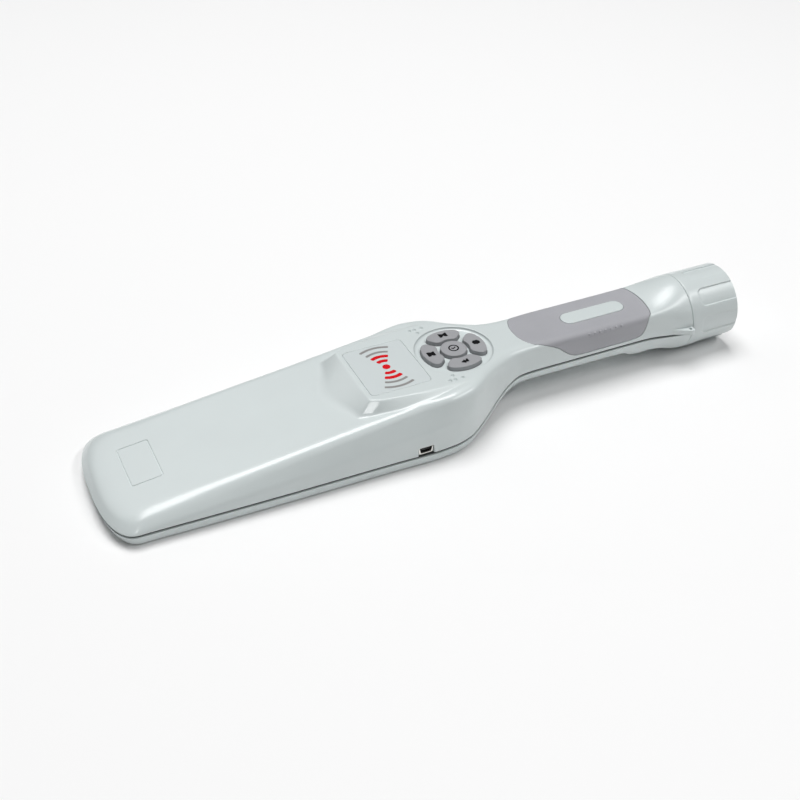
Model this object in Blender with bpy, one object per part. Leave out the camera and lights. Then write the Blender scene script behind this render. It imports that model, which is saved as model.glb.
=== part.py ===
"""Handheld microchip scanner for animals, in metres with +Z up.

A wedge-shaped reading blade carries a raised instrument deck with a display window and a round
keypad. It narrows into a slim handle that flares to a round screw cap, which closes the battery
compartment. The tip of the blade points to -X, the cap to +X, and the USB side to -Y. The underside
of the blade and the lowest line of the cap both lie on z = 0.

Stations along the case are given as the distance from the tip of the blade.
"""

import math
from collections import namedtuple

import bmesh
import bpy
from mathutils import Matrix, Vector

MM = 0.001

# The whole scanner. Distances run along it from a line just outside the blade's end to the cap's end.
BLADE_START = 1.7 * MM
LENGTH = 382.6 * MM
TIP_X = -(BLADE_START + LENGTH) / 2
GAP = 0.3 * MM
WALL = 2.4 * MM

# The plan of the case.
TIP_CORNER = 17 * MM
TIP_BLEND_END = 60 * MM
BLADE_PARTING_Z = 7 * MM
HANDLE_PARTING_Z = 20.2 * MM
NECK_START = 198 * MM
NECK_END = 243 * MM
PARTING_GAP = 1.0 * MM

# The top surface.
WEDGE_BASE = 12.6 * MM
WEDGE_SLOPE = 0.12
DECK_Z = 36.3 * MM
DECK_FRONT = 146.6 * MM

# The flare and the screw cap.
FLARE_START = 319 * MM
SEAM = 350.4 * MM
CAP_RADIUS = 22 * MM
CAP_AXIS_Z = 22 * MM
CAP_START = 350.9 * MM
CAP_RECESSES = 8
CAP_RECESS_START = 359.5 * MM
CAP_RECESS_DEPTH = 0.8 * MM
CAP_RECESS_HALF_ANGLE = math.radians(14)
CAP_RECESS_PHASE = math.radians(133.5)
CAP_END_WALL = 3 * MM

# The thread between the collar and the cap.
THREAD_PITCH = 3 * MM
THREAD_TURNS = 2.2
THREAD_CORE = 16.9 * MM
THREAD_CREST = 17.9 * MM
NUT_ROOT = 18.5 * MM
NUT_CREST = 17.5 * MM
COLLAR_END = 361 * MM
COLLAR_FLANGE_START = 344.5 * MM
COLLAR_FLANGE_RADIUS = 17.6 * MM
COLLAR_BORE = 15 * MM

# The battery.
CELL_RADIUS = 9.2 * MM
CELL_LENGTH = 65 * MM
CELL_START = 286.4 * MM
CELL_Z = 23.3 * MM

# The keypad.
PAD_CENTRE = 206.75 * MM
DISH_RADIUS = 22.2 * MM
DISH_FLOOR_Z = 34.9 * MM
PAD_BED_Z = 32.9 * MM
KEY_TOP_Z = 36.9 * MM
KEY_FLANGE_TOP_Z = 32.5 * MM
KEY_FOOT_Z = 31.4 * MM
KEY_FLANGE = 0.5 * MM
KEY_CLEARANCE = 0.3 * MM
POWER_KEY_RADIUS = 7.3 * MM
ARC_KEY_INNER = 9.1 * MM
ARC_KEY_OUTER = 18.2 * MM
ARC_KEY_SPACING = 3.2 * MM
ARC_KEY_OUTER_CORNER = 4.6 * MM
ARC_KEY_INNER_CORNER = 2.9 * MM

# The display window.
WINDOW_START = 149 * MM
WINDOW_END = 183.8 * MM
WINDOW_HALF_WIDTH = 21 * MM
WINDOW_CORNER = 2.5 * MM
WINDOW_THICKNESS = 1.0 * MM
WINDOW_LEDGE = 3 * MM

# The USB port, in the near side wall.
USB_CENTRE = 169.6 * MM
USB_WIDTH = 8.3 * MM
USB_BOTTOM_Z = 7.9 * MM
USB_HEIGHT = 4.4 * MM
USB_DEPTH = 9 * MM
USB_FACE_Y = -43.6 * MM

# The inlay of the handle.
GRIP_THICKNESS = 1.0 * MM
GRIP_RECESS = 1.6 * MM
GRIP_GAP = 0.55 * MM
PILL_START = 274.6 * MM
PILL_END = 314.8 * MM
PILL_HALF_WIDTH = 5.3 * MM

# Boards, coil and screws.
BOARD_THICKNESS = 1.4 * MM
FRONT_BOARD_Z = 26.8 * MM
MAIN_BOARD_Z = 6.0 * MM
COIL_START = 24 * MM
COIL_END = 126 * MM
COIL_HALF_WIDTH = 34 * MM
COIL_BAND = 5 * MM
SCREW_HEAD_RADIUS = 2.4 * MM
SCREW_HEAD_HEIGHT = 1.6 * MM
SCREW_SHANK_RADIUS = 1.1 * MM
BOSS_RADIUS = 2.6 * MM
SCREW_PLACES = ((14, 22), (14, -22), (133, 33), (133, -33), (214, 21.3), (214, -21.3), (265, 0))

ROUND = 40
QUARTER = math.pi / 2


# ---------------------------------------------------------------------------- numbers and curves


def mix(a, b, share):
    return a + (b - a) * share


def smoothstep(start, end, value):
    share = min(max((value - start) / (end - start), 0), 1)
    return share * share * (3 - 2 * share)


def soft_min(a, b, width):
    """The smaller of two heights, with the corner between them rounded over a width."""
    share = min(max(0.5 + (b - a) / (2 * width), 0), 1)
    return mix(b, a, share) - width * share * (1 - share)


def soft_max(a, b, width):
    return -soft_min(-a, -b, width)


def through(*stations):
    """A smooth function of the distance from the tip, through stations given in millimetres."""
    places = [place * MM for place, _ in stations]
    values = [value * MM for _, value in stations]
    slopes = []
    for i in range(len(places) - 1):
        slopes.append((values[i + 1] - values[i]) / (places[i + 1] - places[i]))
    tangents = [slopes[0]]
    for before, after in zip(slopes, slopes[1:]):
        together = before * after > 0
        tangents.append(2 * before * after / (before + after) if together else 0)
    tangents.append(slopes[-1])

    def value_at(s):
        s = min(max(s, places[0]), places[-1])
        i = max(k for k in range(len(places) - 1) if s >= places[k])
        span = places[i + 1] - places[i]
        t = (s - places[i]) / span
        rise = values[i + 1] - values[i]
        start, end = tangents[i] * span, tangents[i + 1] * span
        bend = start + end - 2 * rise
        return values[i] + t * (start + t * (rise - start - bend + t * bend))

    return value_at


def arc_corner(before, corner, after, steps):
    """Points on the curve that leaves one leg and joins the other, tangent to both."""
    points = []
    for i in range(steps + 1):
        t = i / steps
        points.append((1 - t) ** 2 * before + 2 * t * (1 - t) * corner + t**2 * after)
    return points


# ---------------------------------------------------------------------------- shape of the case

# A ring is one plan curve that runs along a side, round the tip and back along the other side.
Ring = namedtuple("Ring", "start corner power half_width height")


def parting_height(s):
    return mix(BLADE_PARTING_Z, HANDLE_PARTING_Z, smoothstep(NECK_START, NECK_END, s))


def wedge_height(s):
    return soft_min(WEDGE_BASE + WEDGE_SLOPE * s, DECK_Z, 1.5 * MM)


deck_half_width = through((140, 25), (150.3, 25.8), (161.6, 27.2), (179.6, 28.7), (200, 29.4))
deck_side_fall = through((140, 1350), (150, 1300), (161, 1000), (180, 550), (196, 400))


def deck_height(s, y):
    """The raised deck: a flat top that falls to the blade at its front, sides and two corners."""
    y = abs(y)
    front_fall = 0.5 + 0.16 * (y / (22 * MM)) ** 2
    front = front_fall * (DECK_FRONT - s)
    side = deck_side_fall(s) * (y - deck_half_width(s))
    corner = 0.9 * (y - 23.5 * MM) - 0.43 * (s - 145.9 * MM)
    return DECK_Z - soft_max(soft_max(front, side, 0.4 * MM), soft_max(corner, 0, 0.3 * MM), 0.3 * MM)


def top_height(s, y):
    blend = 0.5 * MM * (1 - smoothstep(170 * MM, 195 * MM, s)) + 1e-6
    return soft_max(wedge_height(s), deck_height(s, y), blend)


parting_half_width = through(
    (0, 42.2), (17, 42.2), (46, 42.8), (99, 43.8), (154, 44.2), (174, 44.8), (187, 43.9),
    (197, 41.0), (205.5, 36.2), (214, 30.8), (222, 25.6), (232, 20.6), (240, 18.4), (252, 17.8),
    (322, 17.8),
)
knee_half_width = through(
    (0, 41.2), (17, 41.2), (46, 42.0), (99, 42.6), (154, 43.0), (174, 43.5), (187, 42.6),
    (197, 40.2), (205.5, 35.6), (214, 30.2), (222, 25.0), (232, 20.1), (240, 18.1), (252, 17.6),
    (322, 17.6),
)
crease_half_width = through(
    (0, 35.4), (24, 36), (170, 36), (182, 37.2), (192, 38.3), (200, 37.4), (207, 34.4), (214, 29.2),
    (222, 23.9), (230, 19.6), (238, 17.2), (248, 16.3), (262, 16.6), (322, 17.2),
)
crease_round = through(
    (0, 8.5), (17, 8.5), (32, 6), (50, 3.6), (180, 3.6), (200, 6.5), (222, 7.5), (245, 5), (262, 4.2),
    (322, 4.6),
)
bottom_half_width = through(
    (0, 40.8), (17, 40.8), (46, 41.6), (99, 42.5), (154, 42.9), (174, 43.4), (187, 42.5),
    (197, 39.4), (205.5, 34.2), (214, 28.6), (222, 23.4), (232, 18.6), (240, 16.6), (252, 16.4),
    (322, 16.4),
)
bottom_round = through((0, 2.6), (190, 2.6), (215, 5), (245, 6), (322, 6))
knee_height = through((0, 8.4), (20, 9.6), (46, 11.2), (196, 21), (215, 24), (240, 27), (322, 28))
bottom_height = through(
    (0, 0), (198, 0), (206, 1), (216, 4), (226, 8), (236, 11.2), (248, 12.4), (300, 12), (309, 11.8),
    (314, 9.5), (321, 8.8), (328, 9.8), (334, 10.6),
)

PARTING = Ring(BLADE_START, TIP_CORNER - BLADE_START, 2.5, parting_half_width, parting_height)
KNEE = Ring(2.6 * MM, 15.1 * MM, 2.5, knee_half_width, knee_height)
CREASE = Ring(6.7 * MM, 15.8 * MM, 2.4, crease_half_width, wedge_height)
BOTTOM = Ring(3.7 * MM, 14.8 * MM, 2.5, bottom_half_width, bottom_height)


def ring_point(ring, angle, distance, inset):
    """A point of a ring as (distance from the tip, half width, height); inset moves it inwards."""
    lag = ring.start + inset + ring.corner - TIP_CORNER
    s = distance + lag * (1 - smoothstep(TIP_CORNER, TIP_BLEND_END, distance))
    s -= ring.corner * math.cos(angle) ** (2 / ring.power)
    half = (ring.half_width(s) - inset) * math.sin(angle) ** (2 / ring.power)
    return Vector((s, half, ring.height(s)))


def inner_edge(ring, angle, distance, inset, width):
    """The point where the rounding inside a ring has become the top or the bottom face."""
    edge = ring_point(ring, angle, distance, inset)
    narrower = Ring(ring.start + width, ring.corner, ring.power, ring.half_width, ring.height)
    inside = ring_point(narrower, angle, distance, inset)
    inside.y = edge.y - min(width, edge.y) * math.sin(angle) ** (2 / ring.power)
    return inside


def upper_profile(angle, distance, inset, steps):
    """Half a section of the upper surface, from the parting line to the edge of the top face."""
    parting = ring_point(PARTING, angle, distance, inset)
    parting.z += PARTING_GAP / 2
    knee = ring_point(KNEE, angle, distance, inset)
    crease = ring_point(CREASE, angle, distance, inset)
    width = crease_round(distance)
    top = inner_edge(CREASE, angle, distance, inset, width)
    crease.z -= inset
    top.z = top_height(top.x, top.y) - inset
    side = (knee - crease).length
    knee_share = min(0.4, 2 * MM / side)
    crease_share = min(0.6, width / side)
    points = [parting]
    below = mix(knee, parting, 0.4)
    points += arc_corner(below, knee, mix(knee, crease, knee_share), max(steps // 2, 1))
    points += arc_corner(mix(crease, knee, crease_share), crease, top, steps)
    return points


def lower_profile(angle, distance, inset, steps):
    """Half a section of the lower surface, from the parting line to the edge of the bottom face."""
    parting = ring_point(PARTING, angle, distance, inset)
    parting.z -= PARTING_GAP / 2
    bottom = ring_point(BOTTOM, angle, distance, inset)
    width = bottom_round(distance)
    floor = inner_edge(BOTTOM, angle, distance, inset, width)
    bottom.z += inset
    floor.z = bottom.z
    share = min(0.8, width / (parting - bottom).length)
    return [parting] + arc_corner(mix(bottom, parting, share), bottom, floor, steps)


def across(edge, shares, height):
    """Points from the edge of the top or bottom face towards its middle line."""
    return [Vector((edge.x, edge.y * share, height(edge.x, edge.y * share))) for share in shares]


def rounded_to_cap(points, distance, inset, upwards):
    """The half section drawn out towards the circle of the cap along the flare."""
    share = smoothstep(FLARE_START, SEAM, distance)
    if share == 0:
        return points
    lengths = [0]
    for a, b in zip(points, points[1:]):
        lengths.append(lengths[-1] + (b - a).length)
    radius = CAP_RADIUS - inset
    start = math.asin((points[0].z - CAP_AXIS_Z) / radius)
    end = QUARTER if upwards else -QUARTER
    moved = []
    for point, length in zip(points, lengths):
        angle = mix(start, end, length / lengths[-1])
        y = radius * math.cos(angle)
        z = CAP_AXIS_Z + radius * math.sin(angle)
        moved.append(Vector((point.x, mix(point.y, y, share), mix(point.z, z, share))))
    return moved


def half_section(angle, distance, inset, steps, shares, upwards):
    """Half a section, from the parting line to the middle line of the case."""
    if upwards:
        points = upper_profile(angle, distance, inset, steps)
        points += across(points[-1], shares, lambda s, y: top_height(s, y) - inset)
    else:
        points = lower_profile(angle, distance, inset, steps)
        floor = points[-1].z
        points += across(points[-1], shares, lambda s, y: floor)
    return rounded_to_cap(points, distance, inset, upwards)


def full_section(half):
    """The near half, which is -Y, then the far half, in the part's own frame."""
    near = [Vector((TIP_X + p.x, -p.y, p.z)) for p in half]
    far = [Vector((TIP_X + p.x, p.y, p.z)) for p in reversed(half[:-1])]
    return near + far


# ---------------------------------------------------------------------------- meshes and objects


def material(name, colour, roughness, metallic=0.0):
    made = bpy.data.materials.new(name)
    made.use_nodes = True
    shader = made.node_tree.nodes["Principled BSDF"]
    shader.inputs["Base Color"].default_value = (*colour, 1)
    shader.inputs["Roughness"].default_value = roughness
    shader.inputs["Metallic"].default_value = metallic
    made.diffuse_color = (*colour, 1)
    return made


def new_object(name, mesh, finish):
    thing = bpy.data.objects.new(name, mesh)
    bpy.context.scene.collection.objects.link(thing)
    if finish:
        mesh.materials.append(finish)
    return thing


def from_bmesh(name, shape, finish, smooth=True):
    bmesh.ops.remove_doubles(shape, verts=shape.verts, dist=1e-7)
    bmesh.ops.recalc_face_normals(shape, faces=shape.faces)
    mesh = bpy.data.meshes.new(name)
    shape.to_mesh(mesh)
    shape.free()
    if smooth:
        mesh.shade_smooth()
        mesh.set_sharp_from_angle(angle=math.radians(35))
    return new_object(name, mesh, finish)


def add_grid(shape, columns):
    """Faces between neighbouring columns of points; returns the vertices, column by column."""
    rows = [[shape.verts.new(point) for point in column] for column in columns]
    for left, right in zip(rows, rows[1:]):
        for j in range(len(left) - 1):
            shape.faces.new((left[j], right[j], right[j + 1], left[j + 1]))
    return rows


def join_edges(shape, first, second):
    """A strip of faces between two rows of vertices of the same length."""
    for j in range(len(first) - 1):
        shape.faces.new((first[j], first[j + 1], second[j + 1], second[j]))


def layer_solid(name, outer, inner, finish, open_columns=(0, -1)):
    """A closed solid between two grids of points with the same number of columns and rows."""
    shape = bmesh.new()
    outside = add_grid(shape, outer)
    inside = add_grid(shape, inner)
    for column in open_columns:
        join_edges(shape, outside[column], inside[column])
    for row in (0, -1):
        join_edges(shape, [column[row] for column in outside], [column[row] for column in inside])
    bmesh.ops.triangulate(shape, faces=shape.faces)
    return from_bmesh(name, shape, finish)


def prism(name, outline, bottom, top, finish=None, smooth=True):
    """A flat outline of (distance, y) points drawn upwards from one height to another."""
    shape = bmesh.new()
    face = shape.faces.new([shape.verts.new((TIP_X + s, y, bottom)) for s, y in outline])
    raised = bmesh.ops.extrude_face_region(shape, geom=[face])
    moving = [item for item in raised["geom"] if isinstance(item, bmesh.types.BMVert)]
    bmesh.ops.translate(shape, verts=moving, vec=(0, 0, top - bottom))
    return from_bmesh(name, shape, finish, smooth)


def box(name, start, end, near, far, bottom, top, finish=None):
    outline = ((start, near), (end, near), (end, far), (start, far))
    return prism(name, outline, bottom, top, finish, smooth=False)


def circle(s, y, radius, count=24):
    turns = [2 * math.pi * i / count for i in range(count)]
    return [(s + radius * math.cos(a), y + radius * math.sin(a)) for a in turns]


def rounded_rectangle(start, end, half_width, corner, count=4):
    """The plan of a rectangle centred across the case, with round corners."""
    points = []
    centres = (
        (end - corner, half_width - corner, 0),
        (start + corner, half_width - corner, 1),
        (start + corner, corner - half_width, 2),
        (end - corner, corner - half_width, 3),
    )
    for s, y, quarter in centres:
        for i in range(count + 1):
            angle = QUARTER * (quarter + i / count)
            points.append((s + corner * math.cos(angle), y + corner * math.sin(angle)))
    return points


def turned(name, profile, axis_z, finish=None, count=ROUND, closed=True):
    """A profile of (distance, radius) turned about a line along X; open profiles end on the axis."""
    shape = bmesh.new()
    columns = []
    for i in range(count):
        angle = 2 * math.pi * i / count
        ring = [(TIP_X + s, r * math.cos(angle), axis_z + r * math.sin(angle)) for s, r in profile]
        columns.append([shape.verts.new(point) for point in ring])
    for left, right in zip(columns, columns[1:] + columns[:1]):
        last = len(profile) if closed else len(profile) - 1
        for j in range(last):
            k = (j + 1) % len(profile)
            shape.faces.new((left[j], right[j], right[k], left[k]))
    return from_bmesh(name, shape, finish)


def swept(name, sections, finish=None):
    """A closed solid through a row of closed sections, with flat ends."""
    shape = bmesh.new()
    rings = [[shape.verts.new(point) for point in section] for section in sections]
    for first, second in zip(rings, rings[1:]):
        for j in range(len(first)):
            k = (j + 1) % len(first)
            shape.faces.new((first[j], first[k], second[k], second[j]))
    shape.faces.new(rings[0])
    shape.faces.new(rings[-1])
    return from_bmesh(name, shape, finish)


def wire(name, route, radius, finish, sides=6):
    """A round wire along a smooth route of (distance, y, z) points in millimetres."""
    points = [Vector((TIP_X + s * MM, y * MM, z * MM)) for s, y, z in route]
    path = [points[0]]
    for i in range(len(points) - 1):
        before = points[max(i - 1, 0)]
        after = points[min(i + 2, len(points) - 1)]
        for step in range(1, 4):
            path.append(between(before, points[i], points[i + 1], after, step / 3))
    sections = []
    for i, point in enumerate(path):
        ahead = (path[min(i + 1, len(path) - 1)] - path[max(i - 1, 0)]).normalized()
        side = ahead.cross(Vector((0, 0.3, 1))).normalized()
        up = side.cross(ahead)
        ring = []
        for k in range(sides):
            angle = 2 * math.pi * k / sides
            ring.append(point + radius * (math.cos(angle) * side + math.sin(angle) * up))
        sections.append(ring)
    return swept(name, sections, finish)


def between(before, start, end, after, t):
    """A point on the smooth curve from start to end, given its neighbours on both sides."""
    leave, arrive = (end - before) / 2, (after - start) / 2
    return (
        (2 * t**3 - 3 * t**2 + 1) * start
        + (t**3 - 2 * t**2 + t) * leave
        + (3 * t**2 - 2 * t**3) * end
        + (t**3 - t**2) * arrive
    )


def boolean(target, operation, tools):
    """Cuts, or joins on, each tool; the tools stay in the scene as hidden guides."""
    for tool in tools:
        tool.hide_render = True
        tool.display_type = "WIRE"
        step = target.modifiers.new(operation.lower(), "BOOLEAN")
        step.operation = operation
        step.solver = "EXACT"
        step.object = tool


def cut(target, *tools):
    boolean(target, "DIFFERENCE", tools)


def join(target, *tools):
    boolean(target, "UNION", tools)


# ---------------------------------------------------------------------------- the two half shells

TOP_SHARES = (0.82, 0.45, 0)
BOTTOM_SHARES = (0.5, 0)


def case_stations():
    """The (angle, distance) columns of the case: round the tip, then along the sides."""
    tip = [(QUARTER * i / 6, TIP_CORNER) for i in range(6)]
    sides = [17, 26, 40, 70, 110, 130.5, 136, 141, 146.6, 151, 165, 174, 182, 190]
    sides += [197, 203, 208, 213, 218, 223, 228, 234, 241, 251, 270, 308, 314, 320.5]
    sides += [327, 333, 338.5, 344]
    return tip + [(QUARTER, s * MM) for s in sides] + [(QUARTER, SEAM)]


def case_skin(inset, upwards):
    shares = TOP_SHARES if upwards else BOTTOM_SHARES
    steps = 2
    skin = []
    for angle, distance in case_stations():
        skin.append(full_section(half_section(angle, distance, inset, steps, shares, upwards)))
    return skin


GRIP_SHARES = (-1, -0.76, -0.62, -0.5, -0.38, 0, 0.38, 0.5, 0.62, 0.76, 1)


def grip_stations():
    """The outline of the handle inlay: (distance, reach round the section from the middle line)."""
    nose = [(252 - 8.4 * math.cos(a), 15.2 * math.sin(a)) for a in (0.14, 0.4, 0.7, 1.05, QUARTER)]
    side = [(256.4, 17.2), (263, 20.3), (267, 23.6), (272, 27.2), (278, 28.6), (298, 28.6)]
    side += [(315.5, 28.2), (319.5, 25.5), (321.5, 20.5), (322.5, 17.2)]
    end = [(322.5 + 4.1 * math.sin(a), 17.2 * math.cos(a)) for a in (0.5, 0.9, 1.25, 1.43)]
    return [(s * MM, reach * MM) for s, reach in nose + side + end]


def grown_outline(grow):
    """The inlay's outline, moved outwards square to itself."""
    stations = grip_stations()
    grown = []
    for i, (s, reach) in enumerate(stations):
        before, after = stations[max(i - 1, 0)], stations[min(i + 1, len(stations) - 1)]
        run = Vector((after[0] - before[0], after[1] - before[1])).normalized()
        grown.append((s - run.y * grow, reach + run.x * grow))
    return grown


def handle_point(distance, reach, height):
    """A point on the handle at a reach round the section, raised off the surface by a height."""
    half = half_section(QUARTER, distance, 0, 6, (0.75, 0.5, 0.25, 0), True)
    half.reverse()
    left = abs(reach)
    for inner, outer in zip(half, half[1:]):
        step = (outer - inner).length
        if left <= step:
            break
        left -= step
    point = mix(inner, outer, left / step)
    run = (outer - inner).normalized()
    normal = Vector((0, -run.z, run.y))
    point = point + height * normal
    side = -1 if reach < 0 else 1
    return Vector((TIP_X + point.x, side * point.y, point.z))


def handle_layer(name, grow, low, high, finish=None):
    """A layer on the handle within the inlay's outline, grown sideways, between two heights."""
    skins = []
    for height in (high, low):
        skin = []
        for s, reach in grown_outline(grow):
            skin.append([handle_point(s, reach * share, height) for share in GRIP_SHARES])
        skins.append(skin)
    return layer_solid(name, skins[0], skins[1], finish)


def pill_outline(grow):
    radius = PILL_HALF_WIDTH + grow
    return rounded_rectangle(PILL_START - grow, PILL_END + grow, radius, radius - 0.01 * MM, 6)


def arc_key_outline(direction, grow):
    """The kidney-shaped plan of one outer key, between two radii and two diagonals of the pad."""
    inner, outer = ARC_KEY_INNER - grow, ARC_KEY_OUTER + grow
    spacing = ARC_KEY_SPACING / 2 - grow

    def edge(radius):
        return math.pi / 4 - math.asin(spacing / radius)

    def at(radius, angle):
        return Vector((radius * math.cos(angle), radius * math.sin(angle)))

    wide, narrow = edge(outer), edge(inner)
    outer_trim, inner_trim = ARC_KEY_OUTER_CORNER / outer, ARC_KEY_INNER_CORNER / inner
    half = [at(outer, (wide - outer_trim) * i / 3) for i in range(3)]
    corner, low = at(outer, wide), at(inner, narrow)
    along = (low - corner).normalized()
    half += arc_corner(at(outer, wide - outer_trim), corner, corner + along * ARC_KEY_OUTER_CORNER, 4)
    half += arc_corner(low - along * ARC_KEY_INNER_CORNER, low, at(inner, narrow - inner_trim), 3)
    half.append(at(inner, (narrow - inner_trim) / 2))
    half.append(at(inner, 0))
    mirrored = [Vector((p.x, -p.y)) for p in reversed(half[1:-1])]
    turn = Matrix.Rotation(direction, 2)
    placed = [turn @ p for p in half + mirrored]
    return [(PAD_CENTRE + p.x, p.y) for p in placed]


KEY_DIRECTIONS = {"key_back": math.pi, "key_next": 0.0, "key_menu": QUARTER, "key_read": -QUARTER}


def key_outline(name, grow):
    if name == "key_power":
        return circle(PAD_CENTRE, 0, POWER_KEY_RADIUS + grow, 28)
    return arc_key_outline(KEY_DIRECTIONS[name], grow)


KEY_NAMES = ("key_power", *KEY_DIRECTIONS)
SOUND_HOLES = ((192.1, 25.6), (195.1, 25.7), (195.2, 22.0), (199.4, 25.7))
SOUND_HOLE_RADIUS = 0.9 * MM


def sound_hole_cutters():
    cutters = []
    for side in (-1, 1):
        for i, (s, y) in enumerate(SOUND_HOLES):
            outline = circle(s * MM, side * y * MM, SOUND_HOLE_RADIUS, 8)
            cutters.append(prism(f"sound_hole_{side}_{i}", outline, 30 * MM, 38 * MM))
    return cutters


def usb_cutter():
    half = USB_WIDTH / 2 + GAP
    top = USB_BOTTOM_Z + USB_HEIGHT + GAP
    return box("usb_notch", USB_CENTRE - half, USB_CENTRE + half, -50 * MM, -36 * MM, 5 * MM, top)


def tip_panel_cutter():
    """A shallow tray for a label near the tip, parallel to the slope of the blade."""
    cutter = prism("tip_panel", rounded_rectangle(-8 * MM, 8 * MM, 15.8 * MM, 1.5 * MM), 0, 4 * MM)
    middle, side = 28.4 * MM, 1.7 * MM
    cutter.data.transform(Matrix.Translation((-TIP_X, 0, 0)))
    tilt = Matrix.Rotation(-math.atan(WEDGE_SLOPE), 4, "Y")
    place = Matrix.Translation((TIP_X + middle, side, wedge_height(middle) - 0.3 * MM))
    cutter.matrix_world = place @ tilt
    return cutter


def lug():
    """The lanyard eye: a fin that grows out of the upper shell's lower edge beside the cap."""
    outline = [(333, -18), (341, -20.6), (345.5, -23.2), (347, -25)]
    outline += [(348.6, -25.8), (350, -25.2), (350.4, -23.6), (350.4, -18)]
    points = [(s * MM, y * MM) for s, y in outline]
    return prism("lanyard_fin", points, 20.9 * MM, 23.9 * MM)


def screw_height(s):
    """The height of the seat under a screw's head."""
    return bottom_height(s) + 2.6 * MM


def top_shell(plastic):
    shell = layer_solid("top_shell", case_skin(0, True), case_skin(WALL, True), plastic, (-1,))
    cut(shell, handle_layer("grip_recess", GRIP_GAP, -GRIP_RECESS, 3 * MM))
    bed = prism("keypad_bed", circle(PAD_CENTRE, 0, DISH_RADIUS + 1 * MM, 28), PAD_BED_Z, 34.5 * MM)
    join(shell, bed, lug())
    for i, (s, y) in enumerate(SCREW_PLACES):
        s, y = s * MM, y * MM
        low = screw_height(s) + 1.5 * MM
        high = top_height(s, y) - WALL + 0.4 * MM
        join(shell, prism(f"boss_{i}", circle(s, y, BOSS_RADIUS, 12), low, high))
        cut(shell, prism(f"pilot_{i}", circle(s, y, SCREW_SHANK_RADIUS + GAP, 8), 0, high - 3 * MM))
    cut(shell, prism("dish", circle(PAD_CENTRE, 0, DISH_RADIUS, 36), DISH_FLOOR_Z, 40 * MM))
    for name in KEY_NAMES:
        cut(shell, prism(f"{name}_opening", key_outline(name, KEY_CLEARANCE), 30 * MM, 36 * MM))
    recess = rounded_rectangle(
        WINDOW_START - GAP, WINDOW_END + GAP, WINDOW_HALF_WIDTH + GAP, WINDOW_CORNER + GAP
    )
    cut(shell, prism("window_recess", recess, DECK_Z - WINDOW_THICKNESS - GAP, 40 * MM))
    opening = rounded_rectangle(
        WINDOW_START + WINDOW_LEDGE, WINDOW_END - WINDOW_LEDGE, WINDOW_HALF_WIDTH - WINDOW_LEDGE, 1 * MM
    )
    cut(shell, prism("window_opening", opening, 30 * MM, 40 * MM))
    cut(shell, usb_cutter(), tip_panel_cutter(), *sound_hole_cutters())
    cut(shell, prism("lanyard_hole", circle(348 * MM, -23.4 * MM, 1 * MM, 12), 15 * MM, 30 * MM))
    return shell


def bottom_shell(plastic):
    wall = 1.7 * MM
    shell = layer_solid("bottom_shell", case_skin(0, False), case_skin(wall, False), plastic, (-1,))
    for i, (s, y) in enumerate(SCREW_PLACES):
        s, y = s * MM, y * MM
        seat = screw_height(s)
        block = circle(s, y, BOSS_RADIUS + 1 * MM, 16)
        join(shell, prism(f"seat_{i}", block, seat - 1.5 * MM, seat + 1.2 * MM))
        cut(shell, prism(f"head_{i}", circle(s, y, SCREW_HEAD_RADIUS + GAP, 14), -1 * MM, seat))
        cut(shell, prism(f"shank_{i}", circle(s, y, SCREW_SHANK_RADIUS + GAP, 8), 0, seat + 3 * MM))
    return shell


def case_gasket(rubber):
    """The thin seal that follows the parting line round the case, set back from the surface."""
    skins = []
    for height in (0.2 * MM, -0.2 * MM):
        skin = []
        for angle, distance in case_stations():
            share = smoothstep(FLARE_START, SEAM, distance)
            pair = []
            for inset in (0.7 * MM, 1.9 * MM):
                point = ring_point(PARTING, angle, distance, inset)
                point.y = mix(point.y, CAP_RADIUS - inset, share)
                pair.append(Vector((point.x, point.y, point.z + height)))
            skin.append(pair)
        far = [[Vector((TIP_X + p.x, p.y, p.z)) for p in pair] for pair in reversed(skin)]
        near = [[Vector((TIP_X + p.x, -p.y, p.z)) for p in pair] for pair in skin[1:]]
        skins.append(far + near)
    return layer_solid("case_gasket", skins[0], skins[1], rubber)


def case_screws(steel):
    for i, (s, y) in enumerate(SCREW_PLACES):
        s, y = s * MM, y * MM
        seat = screw_height(s)
        head_top = seat - GAP
        head_base = head_top - SCREW_HEAD_HEIGHT
        head = prism(f"case_screw_{i + 1}", circle(s, y, SCREW_HEAD_RADIUS, 14), head_base, head_top, steel)
        shank = circle(s, y, SCREW_SHANK_RADIUS, 8)
        join(head, prism(f"shank_of_{i}", shank, head_top - 0.5 * MM, seat + 5 * MM))
        long, wide = 1.6 * MM, 0.3 * MM
        slot_top = head_top - 0.9 * MM
        cut(head, box(f"slot_{i}", s - long, s + long, y - wide, y + wide, -1 * MM, slot_top))


# ---------------------------------------------------------------------------- keypad and display


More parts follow.
